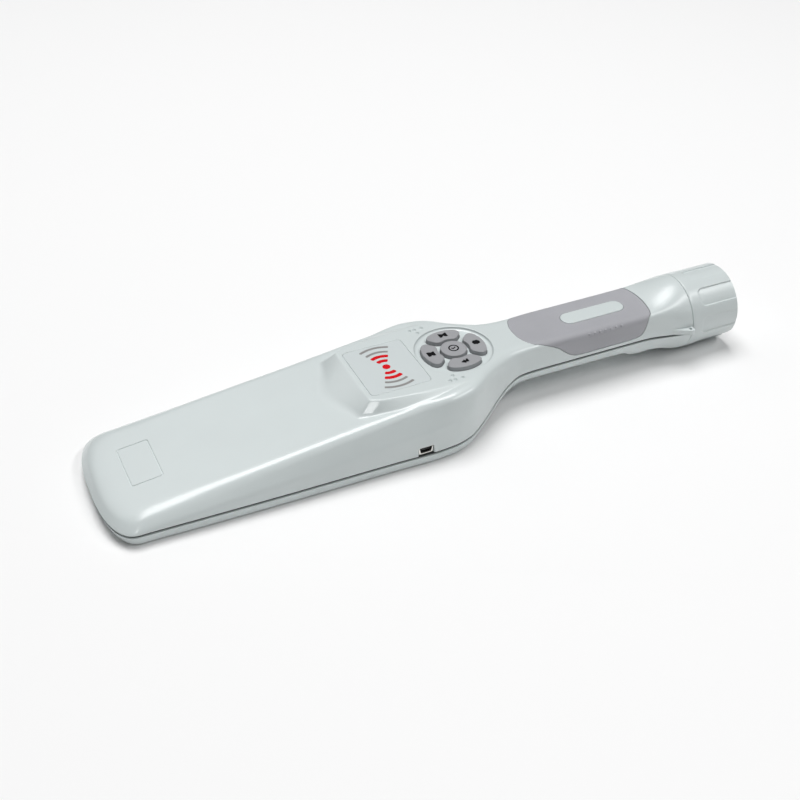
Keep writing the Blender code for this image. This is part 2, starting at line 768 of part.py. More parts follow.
def keypad(key_rubber, mat_rubber, film):
    for name in KEY_NAMES:
        outline = key_outline(name, 0)
        key = prism(name, outline, KEY_FOOT_Z + 0.5 * MM, KEY_TOP_Z, key_rubber)
        join(key, prism(f"{name}_flange", key_outline(name, KEY_FLANGE), KEY_FOOT_Z, KEY_FLANGE_TOP_Z))
        middle = sum((Vector((TIP_X + s, y)) for s, y in outline), Vector((0, 0))) / len(outline)
        key.data.transform(Matrix.Translation((-middle.x, -middle.y, -KEY_TOP_Z)))
        key.location = (middle.x, middle.y, KEY_TOP_Z)
    prism("keypad_mat", circle(PAD_CENTRE, 0, 19.2 * MM, 28), 29.3 * MM, 30.2 * MM, mat_rubber)
    sheet = prism("dome_sheet", circle(PAD_CENTRE, 0, 18.5 * MM, 24), 28.5 * MM, 28.7 * MM, film)
    reach = 13.7 * MM
    places = [(0, 0)] + [(reach * math.cos(a), reach * math.sin(a)) for a in KEY_DIRECTIONS.values()]
    for i, (along, side) in enumerate(places):
        dome = prism(f"dome_{i}", circle(PAD_CENTRE + along, side, 2.5 * MM, 8), 28.6 * MM, 29.0 * MM)
        join(sheet, dome)


def display(window_plastic, glass):
    outline = rounded_rectangle(WINDOW_START, WINDOW_END, WINDOW_HALF_WIDTH, WINDOW_CORNER, 5)
    prism("display_window", outline, DECK_Z - WINDOW_THICKNESS, DECK_Z, window_plastic)
    box("display_module", 151 * MM, 182 * MM, -19 * MM, 19 * MM, 28.5 * MM, 33.4 * MM, glass)


# ---------------------------------------------------------------------------- boards and antenna


def boards(fibreglass, metal, black, ribbon):
    near = [(148, -27), (200, -27), (210, -18.5), (228, -14)]
    outline = [(s * MM, y * MM) for s, y in near] + [(s * MM, -y * MM) for s, y in reversed(near)]
    front_top = FRONT_BOARD_Z + BOARD_THICKNESS
    prism("front_board", outline, FRONT_BOARD_Z, front_top, fibreglass, smooth=False)
    top = MAIN_BOARD_Z + BOARD_THICKNESS
    box("main_board", 139 * MM, 199 * MM, -34.5 * MM, 34.5 * MM, MAIN_BOARD_Z, top, fibreglass)
    box("processor_can", 148 * MM, 168 * MM, -4 * MM, 16 * MM, top + GAP, top + 3 * MM, metal)
    box("board_ribbon", 190 * MM, 190.4 * MM, -8 * MM, 8 * MM, top + GAP, FRONT_BOARD_Z - GAP, ribbon)
    place = circle(196 * MM, -23.8 * MM, 3.6 * MM, 16)
    prism("buzzer", place, front_top + GAP, 32.4 * MM, black)


def usb_port(metal, black):
    """A sheet-metal port mouth with a contact tongue, whose face is flush with the side wall."""
    back = USB_FACE_Y + USB_DEPTH
    half = USB_WIDTH / 2
    top = USB_BOTTOM_Z + USB_HEIGHT
    wall = 0.6 * MM
    start, end = USB_CENTRE - half, USB_CENTRE + half
    port = box("usb_port", start, end, USB_FACE_Y, back, USB_BOTTOM_Z, top, metal)
    near, far = USB_FACE_Y - wall, back - wall
    mouth = box("usb_mouth", start + wall, end - wall, near, far, USB_BOTTOM_Z + wall, top - wall)
    cut(port, mouth)
    middle = USB_BOTTOM_Z + USB_HEIGHT / 2
    box(
        "usb_tongue", USB_CENTRE - 2.6 * MM, USB_CENTRE + 2.6 * MM, USB_FACE_Y + 1.2 * MM,
        back - wall - GAP, middle - 0.5 * MM, middle + 0.5 * MM, black,
    )


def antenna(copper, tray_plastic):
    rim = 2 * MM
    outer = rounded_rectangle(COIL_START - rim, COIL_END + rim, COIL_HALF_WIDTH + 1.6 * MM, 10 * MM)
    prism("antenna_tray", outer, 2.3 * MM, 3.5 * MM, tray_plastic)
    ring = rounded_rectangle(COIL_START, COIL_END, COIL_HALF_WIDTH, 9 * MM)
    coil = prism("antenna_coil", ring, 3.8 * MM, 7 * MM, copper)
    inner = rounded_rectangle(
        COIL_START + COIL_BAND, COIL_END - COIL_BAND, COIL_HALF_WIDTH - COIL_BAND, 5 * MM
    )
    cut(coil, prism("coil_window", inner, 3 * MM, 8 * MM))
    route = [(126.6, 1, 5.6), (130, 1, 5.2), (134, 2, 8.6), (140, 2, 9.6), (143, 2, 8.6)]
    wire("antenna_lead", route, 0.6 * MM, copper)


# ---------------------------------------------------------------------------- handle and battery


def grip(soft_plastic, shell_plastic):
    cover = handle_layer("grip_cover", 0, -GRIP_THICKNESS, 0, soft_plastic)
    cut(cover, prism("pill_opening", pill_outline(GAP), 30 * MM, 40 * MM))
    prism("grip_insert", pill_outline(0), 35.1 * MM, 36.6 * MM, shell_plastic)


def battery(label, metal, wire_red):
    radius = CELL_RADIUS
    end = CELL_START + CELL_LENGTH
    nub_radius, rim = 3 * MM, 0.6 * MM
    shoulder = CELL_START + 1.2 * MM
    profile = [(CELL_START, 0), (CELL_START, nub_radius), (shoulder, nub_radius), (shoulder, radius - rim)]
    profile += [(shoulder + rim, radius), (end - rim, radius), (end, radius - rim), (end, 0)]
    turned("battery_cell", profile, CELL_Z, label, 28, closed=False)
    face = CELL_START - GAP
    half = 6 * MM
    box("battery_contact", face - 0.5 * MM, face, -half, half, CELL_Z - half, CELL_Z + half, metal)
    route = [(284.6, 3, 27), (280, 4, 28), (262, 7, 25), (240, 8, 20), (222, 7, 13.5)]
    route += [(208, 5, 10.5), (198, 4, 8.8)]
    wire("battery_lead", route, 0.8 * MM, wire_red)


def helix_ridge(name, start, turns, root, crest, steps_per_turn=18):
    """A thread ridge about the cap's axis, with ends that run out into its root."""
    sections = []
    count = round(turns * steps_per_turn)
    for i in range(count + 1):
        angle = 2 * math.pi * i / steps_per_turn
        middle = start + THREAD_PITCH * i / steps_per_turn
        fade = min(1, 0.15 + min(i, count - i) / 3)
        tip = mix(root, crest, fade)
        base_half, crest_half = 0.75 * MM, 0.35 * MM
        ring = []
        for along, r in ((-base_half, root), (-crest_half, tip), (crest_half, tip), (base_half, root)):
            s = middle + along
            ring.append((TIP_X + s, r * math.cos(angle), CAP_AXIS_Z + r * math.sin(angle)))
        sections.append(ring)
    return swept(name, sections)


def collar(tube_plastic, seal_rubber):
    """The ring clamped in the flare: it guides the cell and carries the outside thread."""
    bore = CELL_RADIUS + 2 * MM
    web = COLLAR_FLANGE_START + 2 * MM
    flange_end = 350.3 * MM
    profile = [
        (COLLAR_FLANGE_START, bore), (COLLAR_FLANGE_START, COLLAR_FLANGE_RADIUS),
        (flange_end, COLLAR_FLANGE_RADIUS), (flange_end, THREAD_CORE),
        (COLLAR_END, THREAD_CORE), (COLLAR_END, COLLAR_BORE), (web, COLLAR_BORE), (web, bore),
    ]
    ring = turned("battery_collar", profile, CAP_AXIS_Z, tube_plastic, 28)
    root = THREAD_CORE - 0.3 * MM
    join(ring, helix_ridge("collar_ridge", 353.6 * MM, THREAD_TURNS, root, THREAD_CREST))
    seal = []
    for i in range(6):
        angle = 2 * math.pi * i / 6
        seal.append((351.9 * MM + 0.7 * MM * math.cos(angle), 17.95 * MM + 0.7 * MM * math.sin(angle)))
    turned("collar_seal", seal, CAP_AXIS_Z, seal_rubber, 28)


def recess_cutter(index):
    """One U-shaped grip recess of the cap, open towards the end, with a round inner end."""
    middle = CAP_RECESS_PHASE + 2 * math.pi * index / CAP_RECESSES
    half = CAP_RECESS_HALF_ANGLE
    round_run = 4 * MM
    skins = []
    for radius in (CAP_RADIUS + 1 * MM, CAP_RADIUS - CAP_RECESS_DEPTH):
        skin = []
        for step in (0, 0.35, 1, 2):
            run = round_run * min(step, 1)
            s = CAP_RECESS_START + run if step < 2 else LENGTH + 1 * MM
            width = half * math.sqrt(max(1 - (1 - min(step, 1)) ** 2, 0.12))
            column = []
            for j in range(3):
                angle = middle + width * (j - 1)
                y, height = radius * math.cos(angle), radius * math.sin(angle)
                column.append((TIP_X + s, y, CAP_AXIS_Z + height))
            skin.append(column)
        skins.append(skin)
    return layer_solid(f"cap_recess_{index}", skins[0], skins[1], None)


def battery_cap(shell_plastic):
    edge = 1 * MM
    inner_end = LENGTH - CAP_END_WALL
    inside = [
        (inner_end, 0), (inner_end, 14 * MM), (363 * MM, 14 * MM), (363 * MM, NUT_ROOT),
        (353.4 * MM, NUT_ROOT), (353.2 * MM, NUT_ROOT + 0.8 * MM), (CAP_START, NUT_ROOT + 0.8 * MM),
    ]
    outside = [
        (CAP_START, CAP_RADIUS - 0.2 * MM), (CAP_START + 0.3 * MM, CAP_RADIUS),
        (LENGTH - edge, CAP_RADIUS), (LENGTH - 0.3 * edge, CAP_RADIUS - 0.3 * edge),
        (LENGTH, CAP_RADIUS - edge), (LENGTH, 0),
    ]
    cap = turned("battery_cap", inside + outside, CAP_AXIS_Z, shell_plastic, 32, closed=False)
    ridge_start = 353.6 * MM + THREAD_PITCH / 2
    join(cap, helix_ridge("cap_ridge", ridge_start, THREAD_TURNS - 0.4, NUT_ROOT + 0.3 * MM, NUT_CREST))
    cut(cap, *[recess_cutter(i) for i in range(CAP_RECESSES)])
    move_origin(cap, Vector((TIP_X + CAP_START, 0, CAP_AXIS_Z)))


def move_origin(thing, place):
    thing.data.transform(Matrix.Translation(-place))
    thing.location = place


def cap_contact(metal):
    face = CELL_START + CELL_LENGTH + GAP
    plate = [(face, 0), (face, 7.5 * MM), (face + 0.8 * MM, 7.5 * MM), (face + 0.8 * MM, 0)]
    turned("cap_contact_plate", plate, CAP_AXIS_Z, metal, 24, closed=False)
    start = face + 0.8 * MM + GAP + 0.6 * MM
    end = LENGTH - CAP_END_WALL - GAP - 0.6 * MM
    turns, per_turn, sides = 4, 10, 5
    sections = []
    for i in range(turns * per_turn + 1):
        angle = 2 * math.pi * i / per_turn
        share = i / (turns * per_turn)
        coil = mix(5 * MM, 8 * MM, share)
        s = mix(start, end, smoothstep(0.1, 0.9, share) if share < 0.1 or share > 0.9 else share)
        ring = []
        for k in range(sides):
            turn = 2 * math.pi * k / sides
            r = coil + 0.6 * MM * math.cos(turn)
            along = s + 0.6 * MM * math.sin(turn)
            ring.append((TIP_X + along, r * math.cos(angle), CAP_AXIS_Z + r * math.sin(angle)))
        sections.append(ring)
    swept("cap_contact_spring", sections, metal)


# ---------------------------------------------------------------------------- the whole scanner


def build():
    for thing in list(bpy.data.objects):
        bpy.data.objects.remove(thing, do_unlink=True)
    shell_plastic = material("shell_plastic", (0.66, 0.71, 0.71), 0.32)
    key_rubber = material("key_rubber", (0.33, 0.34, 0.35), 0.55)
    mat_rubber = material("mat_rubber", (0.22, 0.22, 0.23), 0.7)
    seal_rubber = material("seal_rubber", (0.05, 0.055, 0.055), 0.7)
    grip_plastic = material("grip_plastic", (0.38, 0.36, 0.38), 0.6)
    window_plastic = material("window_plastic", (0.66, 0.71, 0.71), 0.2)
    tray_plastic = material("tray_plastic", (0.75, 0.75, 0.72), 0.5)
    black_plastic = material("black_plastic", (0.02, 0.02, 0.02), 0.45)
    fibreglass = material("fibreglass", (0.02, 0.18, 0.07), 0.4)
    film = material("polyester_film", (0.6, 0.62, 0.6), 0.3)
    ribbon = material("ribbon_cable", (0.75, 0.45, 0.12), 0.4)
    glass = material("display_glass", (0.03, 0.04, 0.05), 0.1)
    copper = material("enamelled_copper", (0.6, 0.22, 0.08), 0.35, 1.0)
    steel = material("zinc_plated_steel", (0.6, 0.6, 0.6), 0.35, 1.0)
    nickel = material("nickel_plate", (0.7, 0.69, 0.66), 0.25, 1.0)
    cell_wrap = material("cell_wrap", (0.08, 0.2, 0.4), 0.4)
    wire_sleeve = material("wire_sleeve", (0.6, 0.03, 0.03), 0.5)

    top_shell(shell_plastic)
    bottom_shell(shell_plastic)
    case_gasket(seal_rubber)
    case_screws(steel)
    keypad(key_rubber, mat_rubber, film)
    display(window_plastic, glass)
    boards(fibreglass, nickel, black_plastic, ribbon)
    usb_port(nickel, black_plastic)
    antenna(copper, tray_plastic)
    grip(grip_plastic, shell_plastic)
    battery(cell_wrap, nickel, wire_sleeve)
    collar(tray_plastic, seal_rubber)
    battery_cap(shell_plastic)
    cap_contact(nickel)


build()
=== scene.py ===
from collections import namedtuple
from math import asin, atan, cos, pi, radians, sin, sqrt

import bmesh
import bpy
from mathutils import Matrix, Vector


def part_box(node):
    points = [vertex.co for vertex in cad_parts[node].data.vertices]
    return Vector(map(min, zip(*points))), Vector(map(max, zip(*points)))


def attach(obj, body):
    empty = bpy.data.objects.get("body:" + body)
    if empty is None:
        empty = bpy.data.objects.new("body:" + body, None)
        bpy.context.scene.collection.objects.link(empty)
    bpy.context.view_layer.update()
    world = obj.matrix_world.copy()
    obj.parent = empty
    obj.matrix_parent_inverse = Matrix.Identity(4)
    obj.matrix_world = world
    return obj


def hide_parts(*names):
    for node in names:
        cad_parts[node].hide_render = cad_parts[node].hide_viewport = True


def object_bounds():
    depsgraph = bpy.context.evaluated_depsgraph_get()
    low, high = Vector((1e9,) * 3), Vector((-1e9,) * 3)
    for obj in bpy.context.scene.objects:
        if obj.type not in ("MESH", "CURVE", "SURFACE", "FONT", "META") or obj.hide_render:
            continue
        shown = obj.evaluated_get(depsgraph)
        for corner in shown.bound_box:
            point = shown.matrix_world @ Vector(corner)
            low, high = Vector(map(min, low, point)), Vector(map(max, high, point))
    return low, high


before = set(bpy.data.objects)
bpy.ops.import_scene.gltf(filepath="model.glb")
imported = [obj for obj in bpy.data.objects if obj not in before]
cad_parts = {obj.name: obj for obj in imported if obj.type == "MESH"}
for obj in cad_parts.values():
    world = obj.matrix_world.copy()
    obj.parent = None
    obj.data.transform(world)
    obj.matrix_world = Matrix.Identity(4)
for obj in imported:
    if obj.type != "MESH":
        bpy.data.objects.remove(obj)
CAD_LOW, CAD_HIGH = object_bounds()

MM = 0.001
QUARTER = pi / 2

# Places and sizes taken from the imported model. Distances start just outside the blade's end.
BLADE_START = 1.7 * MM
TIP_X = CAD_LOW.x - BLADE_START
LENGTH = CAD_HIGH.x - TIP_X
WINDOW_LOW, WINDOW_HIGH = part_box("display_window")
POWER_LOW, POWER_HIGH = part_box("key_power")
CAP_LOW, CAP_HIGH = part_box("battery_cap")
USB_LOW, USB_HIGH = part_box("usb_port")
INSERT_LOW, INSERT_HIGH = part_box("grip_insert")
DECK_Z = WINDOW_HIGH.z
KEY_TOP_Z = POWER_HIGH.z
KEY_FOOT_Z = POWER_LOW.z
PAD_CENTRE = (POWER_LOW.x + POWER_HIGH.x) / 2 - TIP_X
CAP_START = CAP_LOW.x - TIP_X
CAP_RADIUS = (CAP_HIGH.z - CAP_LOW.z) / 2
CAP_AXIS_Z = (CAP_HIGH.z + CAP_LOW.z) / 2

# The rest of the shape, as distances from the tip of the blade and heights.
GAP = 0.3 * MM
WALL = 2.4 * MM
LOWER_WALL = 1.7 * MM
TIP_CORNER = 17 * MM
TIP_BLEND_END = 60 * MM
BLADE_PARTING_Z = 7 * MM
HANDLE_PARTING_Z = 20.2 * MM
NECK_START = 198 * MM
NECK_END = 243 * MM
PARTING_GAP = 1.4 * MM
EDGE_ROUND = 0.35 * MM
SHARP_EDGE = radians(35)
WEDGE_BASE = 12.6 * MM
WEDGE_SLOPE = 0.12
WEDGE_ROUND = 1.5 * MM
DECK_FRONT = 146.6 * MM
DECK_FRONT_FALL = 0.5
DECK_FRONT_EXTRA_FALL = 0.3
DECK_FRONT_HALF_WIDTH = 22 * MM
DECK_CORNER = (146.2 * MM, 23.25 * MM)
DECK_CORNER_FALL = 1.06
DECK_CORNER_RISE = 0.507
DECK_FRONT_ROUND = 0.5 * MM
DECK_ROUND = 0.4 * MM
LUG_LOW_Z = 20.9 * MM
LUG_TOP_Z = 24.3 * MM
LUG_EYE = (348 * MM, -23.4 * MM)
LUG_EYE_RADIUS = 0.95 * MM
TIP_FRAME_MIDDLE = 29.0 * MM
TIP_FRAME_SIDE = 1.7 * MM
TIP_FRAME_DEPTH = 0.4 * MM
USB_CORNER = 0.9 * MM
USB_FACE_Y = -44.35 * MM
USB_NOTCH_Y = -36 * MM
FLARE_START = 319 * MM
SEAM = 350.4 * MM
DISH_RADIUS = 22.2 * MM
BED_RADIUS = 23.3 * MM
DISH_FLOOR_Z = 34.5 * MM
DISH_LIP = 0.55 * MM
DISH_SWEEP = 2.7 * MM
PAD_BED_Z = 32.9 * MM
KEY_FLANGE_TOP_Z = 32.5 * MM
KEY_FLANGE = 0.5 * MM
KEY_CLEARANCE = 0.3 * MM
POWER_KEY_RADIUS = 7.3 * MM
ARC_KEY_INNER = 9.1 * MM
ARC_KEY_OUTER = 18.2 * MM
ARC_KEY_SPACING = 3.2 * MM
ARC_KEY_OUTER_CUT = 4.6 * MM
ARC_KEY_INNER_CUT = 2.9 * MM
KEY_DIRECTIONS = {"key_back": pi, "key_next": 0.0, "key_menu": QUARTER, "key_read": -QUARTER}
KEY_BODIES = {
    "key_power": "power_key", "key_back": "back_key", "key_next": "next_key", "key_menu": "menu_key",
    "key_read": "read_key",
}
KEY_SIGN_RADIUS = 13.7 * MM
SOUND_HOLES = ((192.1, 25.6), (195.1, 25.7), (195.2, 22.0), (199.4, 25.7))
SOUND_HOLE_PROFILE = ((0.4, -6), (0.4, -1.0), (0.72, -0.75), (0.95, -0.3), (1.15, 0.0), (1.25, 4))
WINDOW_CORNER = 2.5 * MM
WINDOW_LEDGE = 3 * MM
GRIP_THICKNESS = 1.0 * MM
GRIP_RECESS = 1.6 * MM
GRIP_GAP = 0.15 * MM
GRIP_ROWS = 56
DOTS, DOT_START, DOT_PITCH = 7, 283.4, 3.5
DOT_SIDE = 16.6 * MM
PILL_GAP = 0.15 * MM
CAP_ROUND = 1.3 * MM
CAP_RECESSES = 8
CAP_RECESS_START = 358.0 * MM
CAP_RECESS_DEPTH = 0.8 * MM
CAP_RECESS_CORNER = 3.4 * MM
CAP_RECESS_HALF_ANGLE = radians(14)
CAP_RECESS_PHASE = radians(133.5)
THREAD_PITCH = 3 * MM
THREAD_START = 353.6 * MM
THREAD_TURNS = 2.2
THREAD_STEPS = 72
THREAD_CORE = 16.9 * MM
THREAD_CREST = 17.9 * MM
NUT_ROOT = 18.5 * MM
NUT_CREST = 17.5 * MM
COLLAR_START = 344.5 * MM
COLLAR_END = 361 * MM
COLLAR_WEB_BORE = 11.2 * MM
COLLAR_BORE = 15 * MM
COLLAR_FLANGE_END = 350.3 * MM
COLLAR_FLANGE = 17.6 * MM
SEAL_MIDDLE = (351.9 * MM, 17.95 * MM)
SEAL_RADIUS = 0.7 * MM
SCREW_SEAT = 2.6 * MM
SCREW_HEAD_RADIUS = 2.4 * MM
SCREW_SHANK_RADIUS = 1.1 * MM
BOSS_RADIUS = 2.6 * MM
SCREW_PLACES = ((14, 22), (14, -22), (133, 33), (133, -33), (214, 21.3), (214, -21.3), (265, 0))
SIGN_CENTRE = 166.5 * MM
SIGN_HALF_ANGLE = radians(26)
STROKE_STEPS = 20
INK = 0.04 * MM
COAT_CLEAR, COAT_DULLED = 0.15, 0.255


# ---------- numbers and curves


def mix(a, b, share):
    return a + (b - a) * share


def smoothstep(start, end, value):
    share = min(max((value - start) / (end - start), 0), 1)
    return share * share * (3 - 2 * share)


def soft_min(a, b, width):
    """The smaller of two heights, with the corner between them rounded over a width."""
    share = min(max(0.5 + (b - a) / (2 * width), 0), 1)
    return mix(b, a, share) - width * share * (1 - share)


def soft_max(a, b, width):
    return -soft_min(-a, -b, width)


def through(*stations):
    """A smooth function of the distance from the tip, through stations given in millimetres."""
    places = [place * MM for place, _ in stations]
    values = [value * MM for _, value in stations]
    slopes = []
    for i in range(len(places) - 1):
        slopes.append((values[i + 1] - values[i]) / (places[i + 1] - places[i]))
    tangents = [slopes[0]]
    for before, after in zip(slopes, slopes[1:]):
        together = before * after > 0
        tangents.append(2 * before * after / (before + after) if together else 0)
    tangents.append(slopes[-1])

    def value_at(s):
        s = min(max(s, places[0]), places[-1])
        i = max(k for k in range(len(places) - 1) if s >= places[k])
        span = places[i + 1] - places[i]
        t = (s - places[i]) / span
        rise = values[i + 1] - values[i]
        start, end = tangents[i] * span, tangents[i + 1] * span
        bend = start + end - 2 * rise
        return values[i] + t * (start + t * (rise - start - bend + t * bend))

    return value_at


def arc_corner(before, corner, after, steps):
    """Points on the curve that leaves one leg and joins the other, tangent to both."""
    points = []
    for i in range(steps + 1):
        t = i / steps
        points.append((1 - t) ** 2 * before + 2 * t * (1 - t) * corner + t**2 * after)
    return points


def in_mm(pairs, base=0):
    """Pairs given in millimetres, the second of each counted from a base height."""
    return [(a * MM, base + b * MM) for a, b in pairs]


# ---------- shape of the case

Ring = namedtuple("Ring", "start corner power half_width height")


def parting_height(s):
    return mix(BLADE_PARTING_Z, HANDLE_PARTING_Z, smoothstep(NECK_START, NECK_END, s))


def wedge_height(s):
    return soft_min(WEDGE_BASE + WEDGE_SLOPE * s, DECK_Z, WEDGE_ROUND)


deck_half_width = through((140, 25), (150.3, 25.8), (161.6, 27.2), (179.6, 28.7), (200, 29.4))
deck_side_fall = through(
    (140, 2000), (147, 1800), (152, 1350), (158, 1000), (165, 780), (180, 500), (196, 400),
)


def deck_height(s, y):
    """The raised deck: a flat top that falls to the blade at its front, sides and two corners."""
    y = abs(y)
    front_fall = DECK_FRONT_FALL + DECK_FRONT_EXTRA_FALL * (y / DECK_FRONT_HALF_WIDTH) ** 2
    front = front_fall * (DECK_FRONT - s)
    side = deck_side_fall(s) * (y - deck_half_width(s))
    corner = DECK_CORNER_FALL * (y - DECK_CORNER[1]) - DECK_CORNER_RISE * (s - DECK_CORNER[0])
    edge = soft_max(front, side, DECK_FRONT_ROUND)
    return DECK_Z - soft_max(edge, soft_max(corner, 0, DECK_ROUND), DECK_ROUND)


def top_height(s, y):
    """The blade's slope and the deck, melted together widest in front of the deck."""
    width = mix(1.5, 0.7, smoothstep(141 * MM, 153 * MM, s)) * MM
    blend = width * (1 - smoothstep(170 * MM, 195 * MM, s)) + 1e-6
    return soft_max(wedge_height(s), deck_height(s, y), blend)


# Half widths of the case at the parting line, the knee above it and the edge of the bottom face.
HALF_WIDTHS = (
    (0, 42.2, 41.2, 40.8), (17, 42.2, 41.2, 40.8), (46, 42.8, 42.0, 41.6), (99, 43.8, 42.6, 42.5),
    (154, 44.2, 43.0, 42.9), (174, 44.8, 43.5, 43.4), (187, 43.9, 42.6, 42.5), (197, 41.0, 40.2, 39.4),
    (205.5, 36.2, 35.6, 34.2), (214, 30.8, 30.2, 28.6), (222, 25.6, 25.0, 23.4), (232, 20.6, 20.1, 18.6),
    (240, 18.4, 18.1, 16.6), (252, 17.8, 17.6, 16.4), (322, 17.8, 17.6, 16.4),
)
parting_half_width = through(*((s, width) for s, width, _, _ in HALF_WIDTHS))
knee_half_width = through(*((s, width) for s, _, width, _ in HALF_WIDTHS))
bottom_half_width = through(*((s, width) for s, _, _, width in HALF_WIDTHS))
crease_half_width = through(
    (0, 35.4), (24, 36), (170, 36), (182, 37.2), (192, 38.3), (200, 37.4), (207, 34.4), (214, 29.2),
    (222, 23.9), (230, 19.6), (238, 17.2), (248, 16.3), (262, 16.6), (322, 17.2),
)
crease_round = through(
    (0, 9), (17, 9), (32, 8), (55, 5.6), (90, 4.6), (135, 4.4), (160, 3.5), (182, 3.5), (200, 6.5),
    (222, 7.5), (245, 5), (262, 4.2), (322, 4.6),
)
bottom_round = through((0, 2.6), (190, 2.6), (215, 5), (245, 6), (322, 6))
knee_height = through((0, 8.4), (20, 9.6), (46, 11.2), (196, 21), (215, 24), (240, 27), (322, 28))
bottom_height = through(
    (0, 0), (198, 0), (206, 1), (216, 4), (226, 8), (236, 11.2), (248, 12.4), (300, 12), (309, 11.8),
    (314, 9.5), (321, 8.8), (328, 9.8), (334, 10.6),
)

PARTING = Ring(BLADE_START, TIP_CORNER - BLADE_START, 2.5, parting_half_width, parting_height)
KNEE = Ring(2.6 * MM, 15.1 * MM, 2.5, knee_half_width, knee_height)
CREASE = Ring(6.7 * MM, 15.8 * MM, 2.4, crease_half_width, wedge_height)
BOTTOM = Ring(3.7 * MM, 14.8 * MM, 2.5, bottom_half_width, bottom_height)


def ring_point(ring, angle, distance, inset):
    """A point of a ring as (distance from the tip, half width, height); inset moves it inwards."""
    lag = ring.start + inset + ring.corner - TIP_CORNER
    s = distance + lag * (1 - smoothstep(TIP_CORNER, TIP_BLEND_END, distance))
    s -= ring.corner * max(cos(angle), 0) ** (2 / ring.power)
    half = (ring.half_width(s) - inset) * sin(angle) ** (2 / ring.power)
    return Vector((s, half, ring.height(s)))


def inner_edge(ring, angle, distance, inset, width):
    """The point where the rounding inside a ring has become the top or the bottom face."""
    edge = ring_point(ring, angle, distance, inset)
    narrower = Ring(ring.start + width, ring.corner, ring.power, ring.half_width, ring.height)
    inside = ring_point(narrower, angle, distance, inset)
    inside.y = edge.y - min(width, edge.y) * sin(angle) ** (2 / ring.power)
    return inside


def rim_edge(parting, ahead, inset):
    """The first points of a half shell's section, with its outer edge slightly rounded."""
    run = (ahead - parting).length
    radius = min(EDGE_ROUND, 0.4 * run) if inset == 0 else 0
    inwards = Vector((0, 1, 0)) if parting.y > 1 * MM else Vector((-1, 0, 0))
    points = []
    for i in range(4):
        angle = QUARTER * i / 3
        point = mix(parting, ahead, radius * (1 - cos(angle)) / run)
        points.append(point - inwards * radius * (1 - sin(angle)))
    return points


def upper_profile(angle, distance, inset, steps):
    """Half a section of the upper surface, from the parting line to the edge of the top face."""
    parting = ring_point(PARTING, angle, distance, inset)
    parting.z += PARTING_GAP / 2
    knee = ring_point(KNEE, angle, distance, inset)
    crease = ring_point(CREASE, angle, distance, inset)
    width = crease_round(distance)
    top = inner_edge(CREASE, angle, distance, inset, width)
    crease.z -= inset
    top.z = top_height(top.x, top.y) - inset
    side = (knee - crease).length
    knee_share = min(0.4, 2 * MM / side)
    crease_share = min(0.6, width / side)
    points = rim_edge(parting, mix(knee, parting, 0.4), inset)
    points += arc_corner(mix(knee, parting, 0.4), knee, mix(knee, crease, knee_share), steps // 2)
    points += arc_corner(mix(crease, knee, crease_share), crease, top, steps)
    return points


def lower_profile(angle, distance, inset, steps):
    """Half a section of the lower surface, from the parting line to the edge of the bottom face."""
    parting = ring_point(PARTING, angle, distance, inset)
    parting.z -= PARTING_GAP / 2
    bottom = ring_point(BOTTOM, angle, distance, inset)
    width = bottom_round(distance)
    floor = inner_edge(BOTTOM, angle, distance, inset, width)
    bottom.z += inset
    floor.z = bottom.z
    share = min(0.8, width / (parting - bottom).length)
    start = mix(bottom, parting, share)
    return rim_edge(parting, start, inset) + arc_corner(start, bottom, floor, steps)


def across(edge, shares, height):
    """Points from the edge of the top or bottom face towards its middle line."""
    return [Vector((edge.x, edge.y * share, height(edge.x, edge.y * share))) for share in shares]


def rounded_to_cap(points, distance, inset, upwards):
    """The half section drawn out towards the circle of the cap along the flare."""
    share = smoothstep(FLARE_START, SEAM, distance)
    if share == 0:
        return points
    lengths = [0]
    for a, b in zip(points, points[1:]):
        lengths.append(lengths[-1] + (b - a).length)
    radius = CAP_RADIUS - inset
    start = asin((points[0].z - CAP_AXIS_Z) / radius)
    end = QUARTER if upwards else -QUARTER
    moved = []
    for point, length in zip(points, lengths):
        angle = mix(start, end, length / lengths[-1])
        y = radius * cos(angle)
        z = CAP_AXIS_Z + radius * sin(angle)
        moved.append(Vector((point.x, mix(point.y, y, share), mix(point.z, z, share))))
    return moved


def half_section(angle, distance, inset, steps, shares, upwards):
    """Half a section, from the parting line to the middle line of the case."""
    if upwards:
        points = upper_profile(angle, distance, inset, steps)
        points += across(points[-1], shares, lambda s, y: top_height(s, y) - inset)
    else:
        points = lower_profile(angle, distance, inset, steps)
        floor = points[-1].z
        points += across(points[-1], shares, lambda s, y: floor)
    return rounded_to_cap(points, distance, inset, upwards)


def full_section(half):
    near = [Vector((TIP_X + p.x, -p.y, p.z)) for p in half]
    far = [Vector((TIP_X + p.x, p.y, p.z)) for p in reversed(half[:-1])]
    return near + far


# ---------- mesh tools


def placed(name, data):
    """An object of its own in the scene for a mesh, a lamp or a camera."""
    thing = bpy.data.objects.new(name, data)
    bpy.context.scene.collection.objects.link(thing)
    return thing


def smoothed(mesh):
    mesh.shade_smooth()
    mesh.set_sharp_from_angle(angle=SHARP_EDGE)


def object_of(name, shape):
    bmesh.ops.remove_doubles(shape, verts=shape.verts, dist=1e-7)
    bmesh.ops.recalc_face_normals(shape, faces=shape.faces)
    if shape.calc_volume(signed=True) < 0:
        bmesh.ops.reverse_faces(shape, faces=shape.faces)
    mesh = bpy.data.meshes.new(name)
    shape.to_mesh(mesh)
    shape.free()
    smoothed(mesh)
    return placed(name, mesh)


